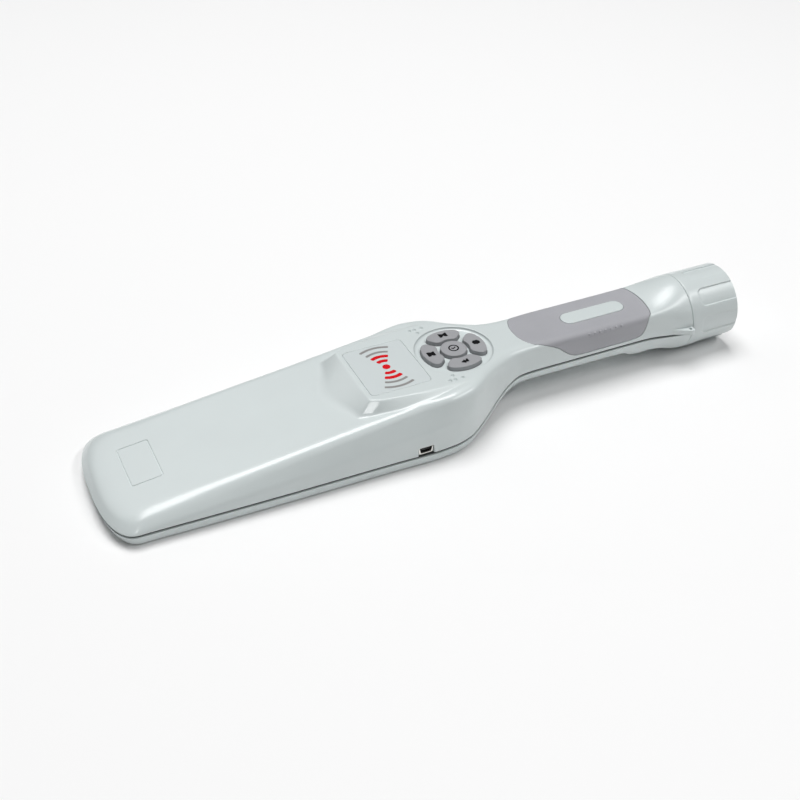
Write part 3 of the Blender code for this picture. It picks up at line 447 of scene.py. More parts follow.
def add_grid(shape, columns):
    """Faces between neighbouring columns of points; returns the vertices, column by column."""
    rows = [[shape.verts.new(point) for point in column] for column in columns]
    for left, right in zip(rows, rows[1:]):
        for j in range(len(left) - 1):
            shape.faces.new((left[j], right[j], right[j + 1], left[j + 1]))
    return rows


def join_edges(shape, first, second):
    for j in range(len(first) - 1):
        shape.faces.new((first[j], first[j + 1], second[j + 1], second[j]))


def layer_solid(name, outer, inner, open_columns=(0, -1)):
    """A closed solid between two grids of points with the same number of columns and rows."""
    shape = bmesh.new()
    outside = add_grid(shape, outer)
    inside = add_grid(shape, inner)
    for column in open_columns:
        join_edges(shape, outside[column], inside[column])
    for row in (0, -1):
        join_edges(shape, [column[row] for column in outside], [column[row] for column in inside])
    bmesh.ops.triangulate(shape, faces=shape.faces)
    return object_of(name, shape)


def lofted(name, rings, capped=True):
    """A skin through a row of closed rings with equal counts, closed by flat ends if capped."""
    shape = bmesh.new()
    rows = [[shape.verts.new(point) for point in ring] for ring in rings]
    for first, second in zip(rows, rows[1:]):
        count = len(first)
        for j in range(count):
            k = (j + 1) % count
            shape.faces.new((first[j], first[k], second[k], second[j]))
    if capped:
        ends = [shape.faces.new(rows[0]), shape.faces.new(rows[-1])]
        bmesh.ops.triangulate(shape, faces=ends)
    return object_of(name, shape)


def upright(point, height):
    return Vector((TIP_X + point[0], point[1], height))


def stacked(name, outline, levels, place=upright):
    """A solid through the same outline at several levels of (growth, height)."""
    rings = [[place(point, height) for point in outline(grow)] for grow, height in levels]
    return lofted(name, rings)


def post(name, s, y, levels, count=64):
    """A round solid about an upright line, through levels of (radius, height)."""
    return stacked(name, lambda radius: circle(s, y, radius, count), levels)


def rounded_edge(grow, height, radius, down=False, steps=5):
    """Levels of a rounded outside edge, from the side wall over onto the face."""
    levels = []
    for i in range(steps + 1):
        angle = QUARTER * i / steps
        drop = radius * (1 - sin(angle))
        levels.append((grow - radius * (1 - cos(angle)), height + drop if down else height - drop))
    return levels


def flared_lip(grow, height, radius, steps=5):
    """Levels of a cutter whose cut leaves a rounded lip where it meets a face at a height."""
    levels = []
    for i in range(steps + 1):
        angle = QUARTER * i / steps
        levels.append((grow + radius * (1 - cos(angle)), height - radius * (1 - sin(angle))))
    levels.append((grow + radius * 1.2, height + 0.02 * MM))
    levels.append((grow + radius * 1.3, height + 4 * MM))
    return levels


def circle(s, y, radius, count=64):
    """Points round a circle, with none on the lines through its centre along X and Y."""
    turns = [2 * pi * (i + 0.5) / count for i in range(count)]
    return [(s + radius * cos(a), y + radius * sin(a)) for a in turns]


def rounded_rectangle(start, end, half_width, corner, count=10):
    points = []
    centres = (
        (end - corner, half_width - corner, 0),
        (start + corner, half_width - corner, 1),
        (start + corner, corner - half_width, 2),
        (end - corner, corner - half_width, 3),
    )
    for s, y, quarter in centres:
        for i in range(count + 1):
            angle = QUARTER * (quarter + i / count)
            points.append((s + corner * cos(angle), y + corner * sin(angle)))
    return points


def round_axis(s, radius, angle):
    """A point about the handle's axis, which is also the cap's."""
    return Vector((TIP_X + s, radius * cos(angle), CAP_AXIS_Z + radius * sin(angle)))


def turned(name, profile, count=128, closed=False):
    """A profile of (distance, radius) turned about the handle's axis."""
    rings = []
    for s, r in profile + (profile[:1] if closed else []):
        ring = []
        for i in range(count):
            angle = 2 * pi * i / count
            ring.append(round_axis(s, r, angle))
        rings.append(ring)
    return lofted(name, rings, capped=False)


def carve(target, operation, tools):
    """Joins the tools into one and applies a single Boolean with it."""
    first = tools[0]
    if len(tools) > 1:
        together = bmesh.new()
        for tool in tools:
            together.from_mesh(tool.data)
        first = placed("tools", bpy.data.meshes.new("tools"))
        together.to_mesh(first.data)
        together.free()
        for tool in tools:
            bpy.data.objects.remove(tool, do_unlink=True)
    step = target.modifiers.new("step", "BOOLEAN")
    step.operation = operation
    step.solver = "EXACT"
    step.object = first
    apply_modifiers(target)
    bpy.data.objects.remove(first, do_unlink=True)


def apply_modifiers(target):
    bpy.context.view_layer.update()
    view = bpy.context.evaluated_depsgraph_get()
    made = bpy.data.meshes.new_from_object(target.evaluated_get(view), depsgraph=view)
    target.modifiers.clear()
    target.data = made


def cut(target, *tools):
    carve(target, "DIFFERENCE", list(tools))


def join(target, *tools):
    carve(target, "UNION", list(tools))


def finished(thing, look, body, nodes=()):
    """Gives a piece its material, puts it on its body and hides the model's parts that it stands in for."""
    thing.data.materials.clear()
    thing.data.materials.append(look)
    smoothed(thing.data)
    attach(thing, body)
    if nodes:
        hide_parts(*nodes)


# ---------- the two half shells


def span(start, end, step):
    count = max(round((end - start) / step), 1)
    return [start + (end - start) * i / count for i in range(count)]


def case_stations():
    """The (angle, distance) columns of the case: round the tip, then along the sides."""
    tip = [(QUARTER * (i / 26) ** 0.85, TIP_CORNER) for i in range(26)]
    sides = span(17, 60, 2.2) + span(60, 124, 4.5) + span(124, 136, 1) + span(136, 172, 0.6)
    sides += span(172, 184, 2) + span(184, 244, 1.4) + span(244, 319, 3) + span(319, 350.4, 1.2)
    return tip + [(QUARTER, s * MM) for s in sides] + [(QUARTER, SEAM)]


def case_skin(inset, upwards):
    shares = [1 - i / 8 for i in range(1, 9)]
    if upwards:
        shares = [1 - i / 60 for i in range(1, 25)] + [0.6 * (1 - i / 16) for i in range(1, 17)]
    steps = 10 if upwards else 8
    skin = []
    for angle, distance in case_stations():
        skin.append(full_section(half_section(angle, distance, inset, steps, shares, upwards)))
    return skin


def grip_stations():
    """The outline of the handle inlay: (distance, reach round the section from the middle line)."""
    nose = [(252 - 8.4 * cos(a), 15.2 * sin(a)) for a in (0.14, 0.4, 0.7, 1.05, QUARTER)]
    side = [(256.4, 17.2), (263, 20.3), (267, 23.6), (272, 27.2), (278, 28.6), (298, 28.6)]
    side += [(315.5, 28.2), (319.5, 25.5), (321.5, 20.5), (322.5, 17.2)]
    end = [(322.5 + 4.1 * sin(a), 17.2 * cos(a)) for a in (0.5, 0.9, 1.25, 1.43)]
    return in_mm(nose + side + end)


def eased(points, steps):
    """A smooth row of points through the given ones."""
    row = [Vector(p) for p in points]
    made = [row[0]]
    for i in range(len(row) - 1):
        before, after = row[max(i - 1, 0)], row[min(i + 2, len(row) - 1)]
        for step in range(1, steps + 1):
            t = step / steps
            leave, arrive = (row[i + 1] - before) / 2, (after - row[i]) / 2
            made.append(
                (2 * t**3 - 3 * t**2 + 1) * row[i]
                + (t**3 - 2 * t**2 + t) * leave
                + (3 * t**2 - 2 * t**3) * row[i + 1]
                + (t**3 - t**2) * arrive
            )
    return made


def grown_row(stations, grow):
    """A row of (distance, reach) points moved outwards square to itself."""
    grown = []
    for i, (s, reach) in enumerate(stations):
        before, after = stations[max(i - 1, 0)], stations[min(i + 1, len(stations) - 1)]
        run = Vector((after[0] - before[0], after[1] - before[1])).normalized()
        grown.append((s - run.y * grow, reach + run.x * grow))
    return grown


def handle_section(distance):
    half = half_section(QUARTER, distance, 0, 10, [1 - i / 6 for i in range(1, 7)], True)
    half.reverse()
    return half


def handle_point(half, reach, height):
    """A point on a handle section at a reach round it, raised off the surface by a height."""
    left = abs(reach)
    for inner, outer in zip(half, half[1:]):
        step = (outer - inner).length
        if left <= step:
            break
        left -= step
    point = mix(inner, outer, left / step)
    run = (outer - inner).normalized()
    point = point + height * Vector((0, -run.z, run.y))
    side = -1 if reach < 0 else 1
    return Vector((TIP_X + point.x, side * point.y, point.z))


def handle_patch(stations, height_at):
    """A grid on the handle inside an outline, each point raised by a height of (s, reach)."""
    patch = []
    for s, reach in stations:
        half = handle_section(s)
        column = []
        for j in range(GRIP_ROWS + 1):
            share = sin(QUARTER * (2 * j / GRIP_ROWS - 1))
            column.append(handle_point(half, reach * share, height_at(s, reach * share)))
        patch.append(column)
    return patch


def edge_distance(outline, s, reach):
    """How far a point on the inlay lies inside its outline."""
    point = Vector((s, abs(reach)))
    best = 1.0
    for a, b in zip(outline, outline[1:]):
        run = b - a
        share = min(max((point - a).dot(run) / run.length_squared, 0), 1)
        best = min(best, (point - a - run * share).length)
    return best


def arc_key_outline(direction, grow):
    """The kidney-shaped plan of one outer key, between two radii and two diagonals of the pad."""
    inner, outer = ARC_KEY_INNER - grow, ARC_KEY_OUTER + grow
    spacing = ARC_KEY_SPACING / 2 - grow

    def edge(radius):
        return pi / 4 - asin(spacing / radius)

    def at(radius, angle):
        return Vector((radius * cos(angle), radius * sin(angle)))

    wide, narrow = edge(outer), edge(inner)
    outer_cut = max(ARC_KEY_OUTER_CUT + grow, 1.2 * MM)
    inner_cut = max(ARC_KEY_INNER_CUT + grow, 0.8 * MM)
    outer_trim, inner_trim = outer_cut / outer, inner_cut / inner
    half = [at(outer, (wide - outer_trim) * i / 14) for i in range(14)]
    corner, low = at(outer, wide), at(inner, narrow)
    along = (low - corner).normalized()
    half += arc_corner(at(outer, wide - outer_trim), corner, corner + along * outer_cut, 12)
    half += arc_corner(low - along * inner_cut, low, at(inner, narrow - inner_trim), 9)
    half += [at(inner, (narrow - inner_trim) * (1 - i / 8)) for i in range(1, 9)]
    mirrored = [Vector((p.x, -p.y)) for p in reversed(half[1:-1])]
    turn = Matrix.Rotation(direction, 2)
    return [(PAD_CENTRE + p.x, p.y) for p in (turn @ q for q in half + mirrored)]


def key_outline(name, grow):
    if name == "key_power":
        return circle(PAD_CENTRE, 0, POWER_KEY_RADIUS + grow, 96)
    return arc_key_outline(KEY_DIRECTIONS[name], grow)


def window_outline(grow):
    start, end = WINDOW_LOW.x - TIP_X - grow, WINDOW_HIGH.x - TIP_X + grow
    return rounded_rectangle(start, end, WINDOW_HIGH.y + grow, max(WINDOW_CORNER + grow, 0.6 * MM))


def pill_outline(grow):
    radius = INSERT_HIGH.y + grow
    start, end = INSERT_LOW.x - TIP_X - grow, INSERT_HIGH.x - TIP_X + grow
    return rounded_rectangle(start, end, radius, radius - 0.01 * MM, 24)


def grown_loop(points, grow):
    """A counter-clockwise loop of points moved outwards square to itself."""
    loop = []
    for i, point in enumerate(points):
        run = (Vector(points[(i + 1) % len(points)]) - Vector(points[i - 1])).normalized()
        loop.append((point[0] + run.y * grow, point[1] - run.x * grow))
    return loop


def lug():
    """The lanyard eye: a fin that grows out of the upper shell's lower edge beside the cap."""
    corners = [(331, -16), (336, -19.6), (341, -22.0), (345.2, -24.2), (346.8, -25.2), (348.6, -25.8)]
    corners += [(349.9, -25.2), (350.25, -23.8), (350.25, -20), (350.25, -16), (341, -16)]
    outline = eased(in_mm(corners), 5)
    levels = rounded_edge(0, LUG_LOW_Z, 0.45 * MM, down=True)[::-1]
    levels += rounded_edge(0, LUG_TOP_Z, 0.6 * MM)
    return stacked("lug", lambda grow: grown_loop(outline, grow), levels)


def screw_height(s):
    """The height of the seat under a screw's head."""
    return bottom_height(s) + SCREW_SEAT


def tip_frame():
    """A fine groove that frames a label's place near the tip, cut square to the blade's slope."""
    section = [(-0.1, 0), (0.1, 0.2), (0.4, 3), (-1.05, 3), (-0.75, 0.2), (-0.55, 0), (-0.1, 0)]
    rings = []
    for grow, height in section:
        half_length, half_width = (8.6 + grow) * MM, (15.8 + grow) * MM
        outline = rounded_rectangle(-half_length, half_length, half_width, (1.5 + grow) * MM)
        rings.append([(u, v + TIP_FRAME_SIDE, height * MM) for u, v in outline])
    cutter = lofted("frame", rings, capped=False)
    tilt = Matrix.Rotation(-atan(WEDGE_SLOPE), 4, "Y")
    floor = wedge_height(TIP_FRAME_MIDDLE) - TIP_FRAME_DEPTH
    cutter.data.transform(Matrix.Translation((TIP_X + TIP_FRAME_MIDDLE, 0, floor)) @ tilt)
    return cutter


def usb_outline(grow):
    half_width = (USB_HIGH.x - USB_LOW.x) / 2 + grow
    half_height = (USB_HIGH.z - USB_LOW.z) / 2 + grow
    corner = max(USB_CORNER + grow, 0.3 * MM)
    return rounded_rectangle(-half_width, half_width, half_height, corner, 6)


def usb_place(point, y):
    middle = (USB_LOW + USB_HIGH) / 2
    return Vector((middle.x + point[0], y, middle.z + point[1]))


def usb_notch():
    """The opening for the port, open down to the parting line, with a softened outer rim."""

    def outline(grow):
        points = usb_outline(GAP + grow)
        return [(u, v if v > 0 else v - 3 * MM) for u, v in points]

    rim = ((0, 0.5), (0.05, 0.35), (0.16, 0.15), (0.35, 0), (0.6, -0.15), (0.8, -3))
    levels = [(0, USB_NOTCH_Y)] + in_mm(rim, USB_FACE_Y)
    return lofted("notch", [[usb_place(p, y) for p in outline(g)] for g, y in levels])


def upper_shell(look):
    shell = layer_solid("upper_shell", case_skin(0, True), case_skin(WALL, True), (-1,))
    rim = grown_row(eased(grip_stations(), 3), GRIP_GAP)
    low, high = [handle_patch(rim, lambda s, reach, h=h: h) for h in (-GRIP_RECESS, 3 * MM)]
    cut(shell, layer_solid("recess", high, low))
    levels = [(BED_RADIUS, PAD_BED_Z), (BED_RADIUS, DISH_FLOOR_Z)]
    join(shell, post("bed", PAD_CENTRE, 0, levels), lug())
    bosses, tools = [], []
    for s, y in SCREW_PLACES:
        s, y = s * MM, y * MM
        low = screw_height(s) + 1.5 * MM
        high = top_height(s, y) - WALL + 0.4 * MM
        levels = [(BOSS_RADIUS, low), (BOSS_RADIUS, high)]
        bosses.append(post("boss", s, y, levels, 24))
        hole = SCREW_SHANK_RADIUS + GAP
        levels = [(hole, 0), (hole, high - 3 * MM)]
        tools.append(post("pilot", s, y, levels, 16))
    join(shell, *bosses)
    for s, y in SOUND_HOLES:
        for side in (-1, 1):
            levels = in_mm(SOUND_HOLE_PROFILE, top_height(s * MM, y * MM))
            tools.append(post("hole", s * MM, side * y * MM, levels, 24))
    cut(shell, *tools)
    rise = DECK_Z - DISH_FLOOR_Z - DISH_LIP
    turns = [QUARTER * i / 12 for i in range(13)]
    dish = [(DISH_SWEEP * sin(a), DISH_FLOOR_Z + rise * (1 - cos(a))) for a in turns]
    dish += flared_lip(DISH_SWEEP, DECK_Z, DISH_LIP)[1:]
    foot = DISH_RADIUS - DISH_SWEEP - DISH_LIP
    eye = [(0, 15 * MM)] + flared_lip(0, LUG_TOP_Z, 0.25 * MM, 3)
    floor = WINDOW_LOW.z - GAP
    ledge = [(-WINDOW_LEDGE, 30 * MM), (-WINDOW_LEDGE, floor), (0.12 * MM, floor)]
    for tool in (
        stacked("dish", lambda g: circle(PAD_CENTRE, 0, foot + g, 160), dish),
        stacked("eye", lambda g: circle(*LUG_EYE, LUG_EYE_RADIUS + g, 24), eye),
        stacked("window", window_outline, ledge + flared_lip(0.12 * MM, DECK_Z, 0.2 * MM, 3)),
        tip_frame(),
        usb_notch(),
    ):
        cut(shell, tool)
    tools = []
    for name in KEY_BODIES:
        levels = [(KEY_CLEARANCE, 30 * MM)]
        levels += flared_lip(KEY_CLEARANCE, DISH_FLOOR_Z, 0.2 * MM, 3)[:-1]
        levels.append((KEY_CLEARANCE + 0.26 * MM, 36 * MM))
        tools.append(stacked("opening", lambda g: key_outline(name, g), levels))
    cut(shell, *tools)
    finished(shell, look, "case", ("top_shell",))


def lower_shell(look):
    shell = layer_solid("lower_shell", case_skin(0, False), case_skin(LOWER_WALL, False), (-1,))
    seats, tools = [], []
    for s, y in SCREW_PLACES:
        s, y = s * MM, y * MM
        seat = screw_height(s)
        levels = [(BOSS_RADIUS + 1 * MM, seat - 1.5 * MM), (BOSS_RADIUS + 1 * MM, seat + 1.2 * MM)]
        seats.append(post("seat", s, y, levels, 32))
        head, shank = SCREW_HEAD_RADIUS + GAP, SCREW_SHANK_RADIUS + GAP
        levels = [(head, -1 * MM), (head, seat), (shank, seat), (shank, seat + 3 * MM)]
        tools.append(post("bore", s, y, levels, 32))
    join(shell, *seats)
    cut(shell, *tools)
    finished(shell, look, "case", ("bottom_shell",))


def gasket(look):
    skins = []
    for height in (0.2 * MM, -0.2 * MM):
        skin = []
        for angle, distance in case_stations():
            share = smoothstep(FLARE_START, SEAM, distance)
            pair = []
            for inset in (0.7 * MM, 1.9 * MM):
                point = ring_point(PARTING, angle, distance, inset)
                point.y = mix(point.y, CAP_RADIUS - inset, share)
                pair.append(Vector((point.x, point.y, point.z + height)))
            skin.append(pair)
        far = [[Vector((TIP_X + p.x, p.y, p.z)) for p in pair] for pair in reversed(skin)]
        near = [[Vector((TIP_X + p.x, -p.y, p.z)) for p in pair] for pair in skin[1:]]
        skins.append(far + near)
    thing = layer_solid("parting_gasket", skins[0], skins[1])
    finished(thing, look, "case", ("case_gasket",))


def screws(look):
    profile = [
        (0.7, 0.0), (1.6, 0.06), (2.1, 0.25), (2.35, 0.55), (2.4, 0.85), (2.4, 1.6), (1.1, 1.6), (1.1, 6.2),
        (0.5, 6.8),
    ]
    model = post("screw", -TIP_X, 0, in_mm(profile), 32)
    for along, side in ((1.5, 0.3), (0.3, 1.5)):

        def bar(grow):
            reach = along * MM + grow
            return rounded_rectangle(-TIP_X - reach, -TIP_X + reach, side * MM + grow, 0.15 * MM, 2)

        cut(model, stacked("bar", bar, in_mm([(0, -1), (0, 0.75), (-0.1, 0.95)])))
    for i, (s, y) in enumerate(SCREW_PLACES):
        top = screw_height(s * MM) - GAP
        mesh = model.data.copy()
        mesh.transform(Matrix.Translation((TIP_X + s * MM, y * MM, top - 1.6 * MM)))
        finished(placed(f"screw_{i + 1}", mesh), look, "case", (f"case_screw_{i + 1}",))
    bpy.data.objects.remove(model, do_unlink=True)


# ---------- keypad and window


def merged(name, things):
    """One object from several, with their meshes side by side."""
    shape = bmesh.new()
    for thing in things:
        shape.from_mesh(thing.data)
        bpy.data.objects.remove(thing, do_unlink=True)
    return object_of(name, shape)


def ink(name, outlines, look, body, z):
    """Printed signs: thin flat shapes from outlines, just proud of a face."""
    levels = [(0, z - 0.01 * MM), (0, z + INK)]
    slabs = [stacked(name, lambda g: outline, levels) for outline in outlines]
    finished(merged(name, slabs), look, body)


def stroke(centre, radius, thickness, middle, bulge):
    """An arc stroke with softly rounded ends."""
    points = []
    for sign, r in ((1, radius + thickness / 2), (-1, radius - thickness / 2)):
        for i in range(STROKE_STEPS + 1):
            angle = middle + sign * SIGN_HALF_ANGLE * (2 * i / STROKE_STEPS - 1)
            points.append((centre[0] + r * cos(angle), centre[1] + r * sin(angle)))
        end = middle + sign * SIGN_HALF_ANGLE
        for i in range(1, 8):
            turn = pi * i / 8
            r_end = radius + sign * thickness / 2 * cos(turn)
            reach = end + sign * bulge * sin(turn) / radius
            points.append((centre[0] + r_end * cos(reach), centre[1] + r_end * sin(reach)))
    return points


def wave_sign(red, grey):
    """The radio-wave sign printed on the window: a dot between two fans of arcs."""
    centre = (SIGN_CENTRE, 0)
    bold, fine = [circle(SIGN_CENTRE, 0, 2.2 * MM, 40)], []
    for middle in (QUARTER, -QUARTER):
        for radius in (5.7, 10.0):
            bold.append(stroke(centre, radius * MM, 2.4 * MM, middle, 0.6 * MM))
        for radius in (14.1, 18.5):
            fine.append(stroke(centre, radius * MM, 1.6 * MM, middle, 0.3 * MM))
    ink("sign_bold", bold, red, "case", DECK_Z)
    ink("sign_fine", fine, grey, "case", DECK_Z)


def at_key(direction, points):
    """Outline points in millimetres, placed at the middle of an outer key and facing the tip."""
    s = PAD_CENTRE + KEY_SIGN_RADIUS * cos(direction)
    y = KEY_SIGN_RADIUS * sin(direction)
    return [(s + u * MM, y + v * MM) for u, v in points]


def key_signs(look):
    arrow = [(-2.3, 0), (0.2, -1.7), (0.2, 1.7)]
    bar = [(0.2, -0.9), (2.3, -0.9), (2.3, 1.9), (1.2, 1.9), (1.2, 0.9), (0.2, 0.9)]
    bow = [
        (-2.4, -1.9), (-1.1, -1.9), (0, -0.7), (1.1, -1.9), (2.4, -1.9), (2.4, 1.9), (0, 0.9), (-2.4, 1.9),
    ]
    block = [
        (-2.2, -2.1), (-0.9, -2.1), (0, -1.4), (0.9, -2.1), (2.2, -2.1), (2.2, 1.9), (0.5, 1.3),
        (-0.8, 1.9), (-2.2, 1.9),
    ]
    blob = [(-1.9, -1.4), (0, -2.1), (1.9, -1.4), (2.3, 0.4), (1.2, 1.9), (-1.2, 1.9), (-2.3, 0.4)]
    signs = {"key_menu": [bow], "key_back": [block], "key_next": [blob], "key_read": [arrow, bar]}
    for name, outlines in signs.items():
        there = [at_key(KEY_DIRECTIONS[name], outline) for outline in outlines]
        ink(f"{name}_sign", there, look, KEY_BODIES[name], KEY_TOP_Z)
    low, high = KEY_TOP_Z - 0.01 * MM, KEY_TOP_Z + INK
    section = [(3.0, low), (3.0, high), (2.15, high), (2.15, low), (3.0, low)]
    rings = [[upright(p, z) for p in circle(PAD_CENTRE, 0, r * MM, 48)] for r, z in section]
    tick = [(-1.5, 0.1), (-0.5, -1.0), (1.5, 0.3), (1.0, 1.0), (-0.3, 0.0), (-0.9, 0.8)]
    mark = [(PAD_CENTRE + u * MM, v * MM) for u, v in tick]
    ring = lofted("ring", rings, capped=False)
    inner = stacked("mark", lambda g: mark, [(0, low), (0, high)])
    finished(merged("key_power_sign", [ring, inner]), look, "power_key")


def keys(look):
    for name, body in KEY_BODIES.items():
        levels = [(KEY_FLANGE, KEY_FOOT_Z), (KEY_FLANGE, KEY_FLANGE_TOP_Z), (0, KEY_FLANGE_TOP_Z)]
        levels += rounded_edge(0, KEY_TOP_Z - 0.04 * MM, 0.55 * MM, steps=6)
        levels += in_mm([(-1.1, -0.01), (-1.7, 0), (-2.2, 0)], KEY_TOP_Z)
        thing = stacked(f"{name}_top", lambda g: key_outline(name, g), levels)
        finished(thing, look, body, (name,))


def window(look):
    levels = [(0, WINDOW_LOW.z)] + rounded_edge(0, DECK_Z, 0.22 * MM) + [(-1.5 * MM, DECK_Z)]
    thing = stacked("window_panel", window_outline, levels)
    finished(thing, look, "case", ("display_window",))


def usb_port(look):
    wall = 0.55 * MM
    back, face = USB_HIGH.y, USB_LOW.y
    reach = (USB_HIGH.z - USB_LOW.z) / 2

    def mouth(point, grow):
        """The socket narrows towards its bottom inside the metal rim."""
        u, v = point
        depth = min(max(-grow / wall, 0), 1)
        return (u * (1 - 0.3 * depth * max(-v, 0) / reach), v + 0.25 * MM * depth)

    rings = [(0, back), (0, face + 0.2 * MM), (-0.06 * MM, face + 0.06 * MM), (-0.18 * MM, face)]
    rings += [(-wall + 0.16 * MM, face), (-wall + 0.04 * MM, face + 0.08 * MM)]
    rings += [(-wall, face + 0.25 * MM), (-wall, back - wall)]
    thing = lofted("usb_shell", [[usb_place(mouth(p, g), y) for p in usb_outline(g)] for g, y in rings])
    finished(thing, look, "case", ("usb_port",))


# ---------- handle, collar and cap


def grip(soft, hard):
    stations = eased(grip_stations(), 5)
    edge = [Vector((stations[0][0], 0))] + stations + [Vector((stations[-1][0], 0))]
    radius = 0.5 * MM

    def rounded(s, reach):
        inside = edge_distance(edge, s, reach)
        if inside >= radius:
            return 0
        return sqrt(max(radius**2 - (radius - inside) ** 2, 0)) - radius

    high = handle_patch(stations, rounded)
    low = handle_patch(stations, lambda s, reach: -GRIP_THICKNESS)
    cover = layer_solid("grip_inlay", high, low)
    opening = [(PILL_GAP, 30 * MM)] + flared_lip(PILL_GAP, DECK_Z, 0.35 * MM)
    cut(cover, stacked("pill", pill_outline, opening))
    finished(cover, soft, "case", ("grip_cover",))
    top = INSERT_HIGH.z
    levels = [(0, INSERT_LOW.z)] + rounded_edge(0, top - 0.06 * MM, 0.5 * MM)
    levels += in_mm([(-1.5, -0.03), (-2.8, -0.01), (-4.2, 0)], top)
    pill = stacked("grip_pill", pill_outline, levels)
    finished(pill, hard, "case", ("grip_insert",))


def grip_dots(look):
    """Small raised dots in a row along the near edge of the handle's top."""
    dome = [(0.95, -0.1), (0.92, 0.0), (0.8, 0.22), (0.55, 0.42), (0.25, 0.52), (0.05, 0.54)]
    dots = []
    for i in range(DOTS):
        s = (DOT_START + DOT_PITCH * i) * MM
        half = handle_section(s)

        def miss(reach):
            return abs(handle_point(half, -reach, 0).y + DOT_SIDE)

        reach = min(span(14 * MM, 21 * MM, 0.05 * MM), key=miss)
        rings = []
        for r, h in dome:
            ring = []
            for u, v in circle(0, 0, r * MM, 16):
                ring.append(handle_point(handle_section(s + u), -reach + v, h * MM))
            rings.append(ring)
        dots.append(lofted("dot", rings))
    finished(merged("grip_dots", dots), look, "case")


def thread_ridge(start, turns, root, crest):
    """One screw thread about the handle's axis, which fades out at both ends."""
    rings = []
    count = round(turns * THREAD_STEPS)
    for i in range(count + 1):
        angle = 2 * pi * i / THREAD_STEPS
        middle = start + THREAD_PITCH * i / THREAD_STEPS
        tip = mix(root, crest, min(1, 0.15 + 4 * min(i, count - i) / THREAD_STEPS))
        flank = mix(root, tip, 0.85)
        ring = []
        for u, r in ((-0.75, root), (-0.35, flank), (-0.22, tip), (0.22, tip), (0.35, flank), (0.75, root)):
            ring.append(round_axis(middle + u * MM, r, angle))
        rings.append(ring)
    return lofted("ridge", rings)


def collar(look, seal_look):
    web = COLLAR_START + 2 * MM
    profile = [
        (COLLAR_START, COLLAR_WEB_BORE), (COLLAR_START, COLLAR_FLANGE),
        (COLLAR_FLANGE_END - 0.3 * MM, COLLAR_FLANGE), (COLLAR_FLANGE_END, COLLAR_FLANGE - 0.3 * MM),
        (COLLAR_FLANGE_END, THREAD_CORE), (COLLAR_END - 0.4 * MM, THREAD_CORE),
        (COLLAR_END, THREAD_CORE - 0.4 * MM), (COLLAR_END, 15.3 * MM),
        (COLLAR_END - 0.3 * MM, COLLAR_BORE), (web, COLLAR_BORE), (web, COLLAR_WEB_BORE),
    ]
    ring = turned("cell_collar", profile, closed=True)
    join(ring, thread_ridge(THREAD_START, THREAD_TURNS, THREAD_CORE - 0.3 * MM, THREAD_CREST))
    finished(ring, look, "case", ("battery_collar",))
    seal = turned("o_ring", circle(*SEAL_MIDDLE, SEAL_RADIUS, 16), closed=True)
    finished(seal, seal_look, "case", ("collar_seal",))


def recess_cutter(index):
    middle = CAP_RECESS_PHASE + 2 * pi * index / CAP_RECESSES
    half_width = CAP_RADIUS * CAP_RECESS_HALF_ANGLE
    floor = CAP_RADIUS - CAP_RECESS_DEPTH

    def outline(grow):
        start, end = CAP_RECESS_START - grow, LENGTH + 6 * MM + grow
        corner = max(CAP_RECESS_CORNER + grow, 0.3 * MM)
        return rounded_rectangle(start, end, half_width + grow, corner, 8)

    def place(point, radius):
        return round_axis(point[0], radius, middle + point[1] / CAP_RADIUS)

    sweep = ((-4.9, 0), (-3.6, 0), (-2.2, 0), (-1.0, 0), (-0.4, 0), (-0.22, 0.04), (-0.06, 0.2))
    levels = in_mm(sweep, floor)
    return stacked("recess", outline, levels + flared_lip(0, CAP_RADIUS, 0.3 * MM, 4), place)


def battery_cap(look):
    inner_end = LENGTH - 3 * MM
    profile = [
        (inner_end, 0), (inner_end, 14 * MM), (363 * MM, 14 * MM), (363 * MM, NUT_ROOT),
        (353.4 * MM, NUT_ROOT), (353.2 * MM, NUT_ROOT + 0.8 * MM), (CAP_START, NUT_ROOT + 0.8 * MM),
        (CAP_START, CAP_RADIUS - 0.5 * MM), (CAP_START + 0.25 * MM, CAP_RADIUS - 0.15 * MM),
        (CAP_START + 0.7 * MM, CAP_RADIUS),
    ]
    profile += [(s * MM, CAP_RADIUS) for s in span(353, 381, 2)]
    for i in range(8):
        turn = QUARTER * i / 7
        s, r = LENGTH - CAP_ROUND * (1 - sin(turn)), CAP_RADIUS - CAP_ROUND * (1 - cos(turn))
        profile.append((s, r))
    profile += [(LENGTH, r * MM) for r in (18, 12, 6, 0)]
    cap = turned("screw_cap", profile, count=192)
    start = THREAD_START + THREAD_PITCH / 2
    join(cap, thread_ridge(start, THREAD_TURNS - 0.4, NUT_ROOT + 0.3 * MM, NUT_CREST))
    cut(cap, *[recess_cutter(i) for i in range(CAP_RECESSES)])
    finished(cap, look, "cap", ("battery_cap",))


# ---------- materials


def fixed(node, **values):
    """Sets sockets of a node, named with underscores for spaces."""
    for name, value in values.items():
        node.inputs[name.replace("_", " ")].default_value = value
    return node


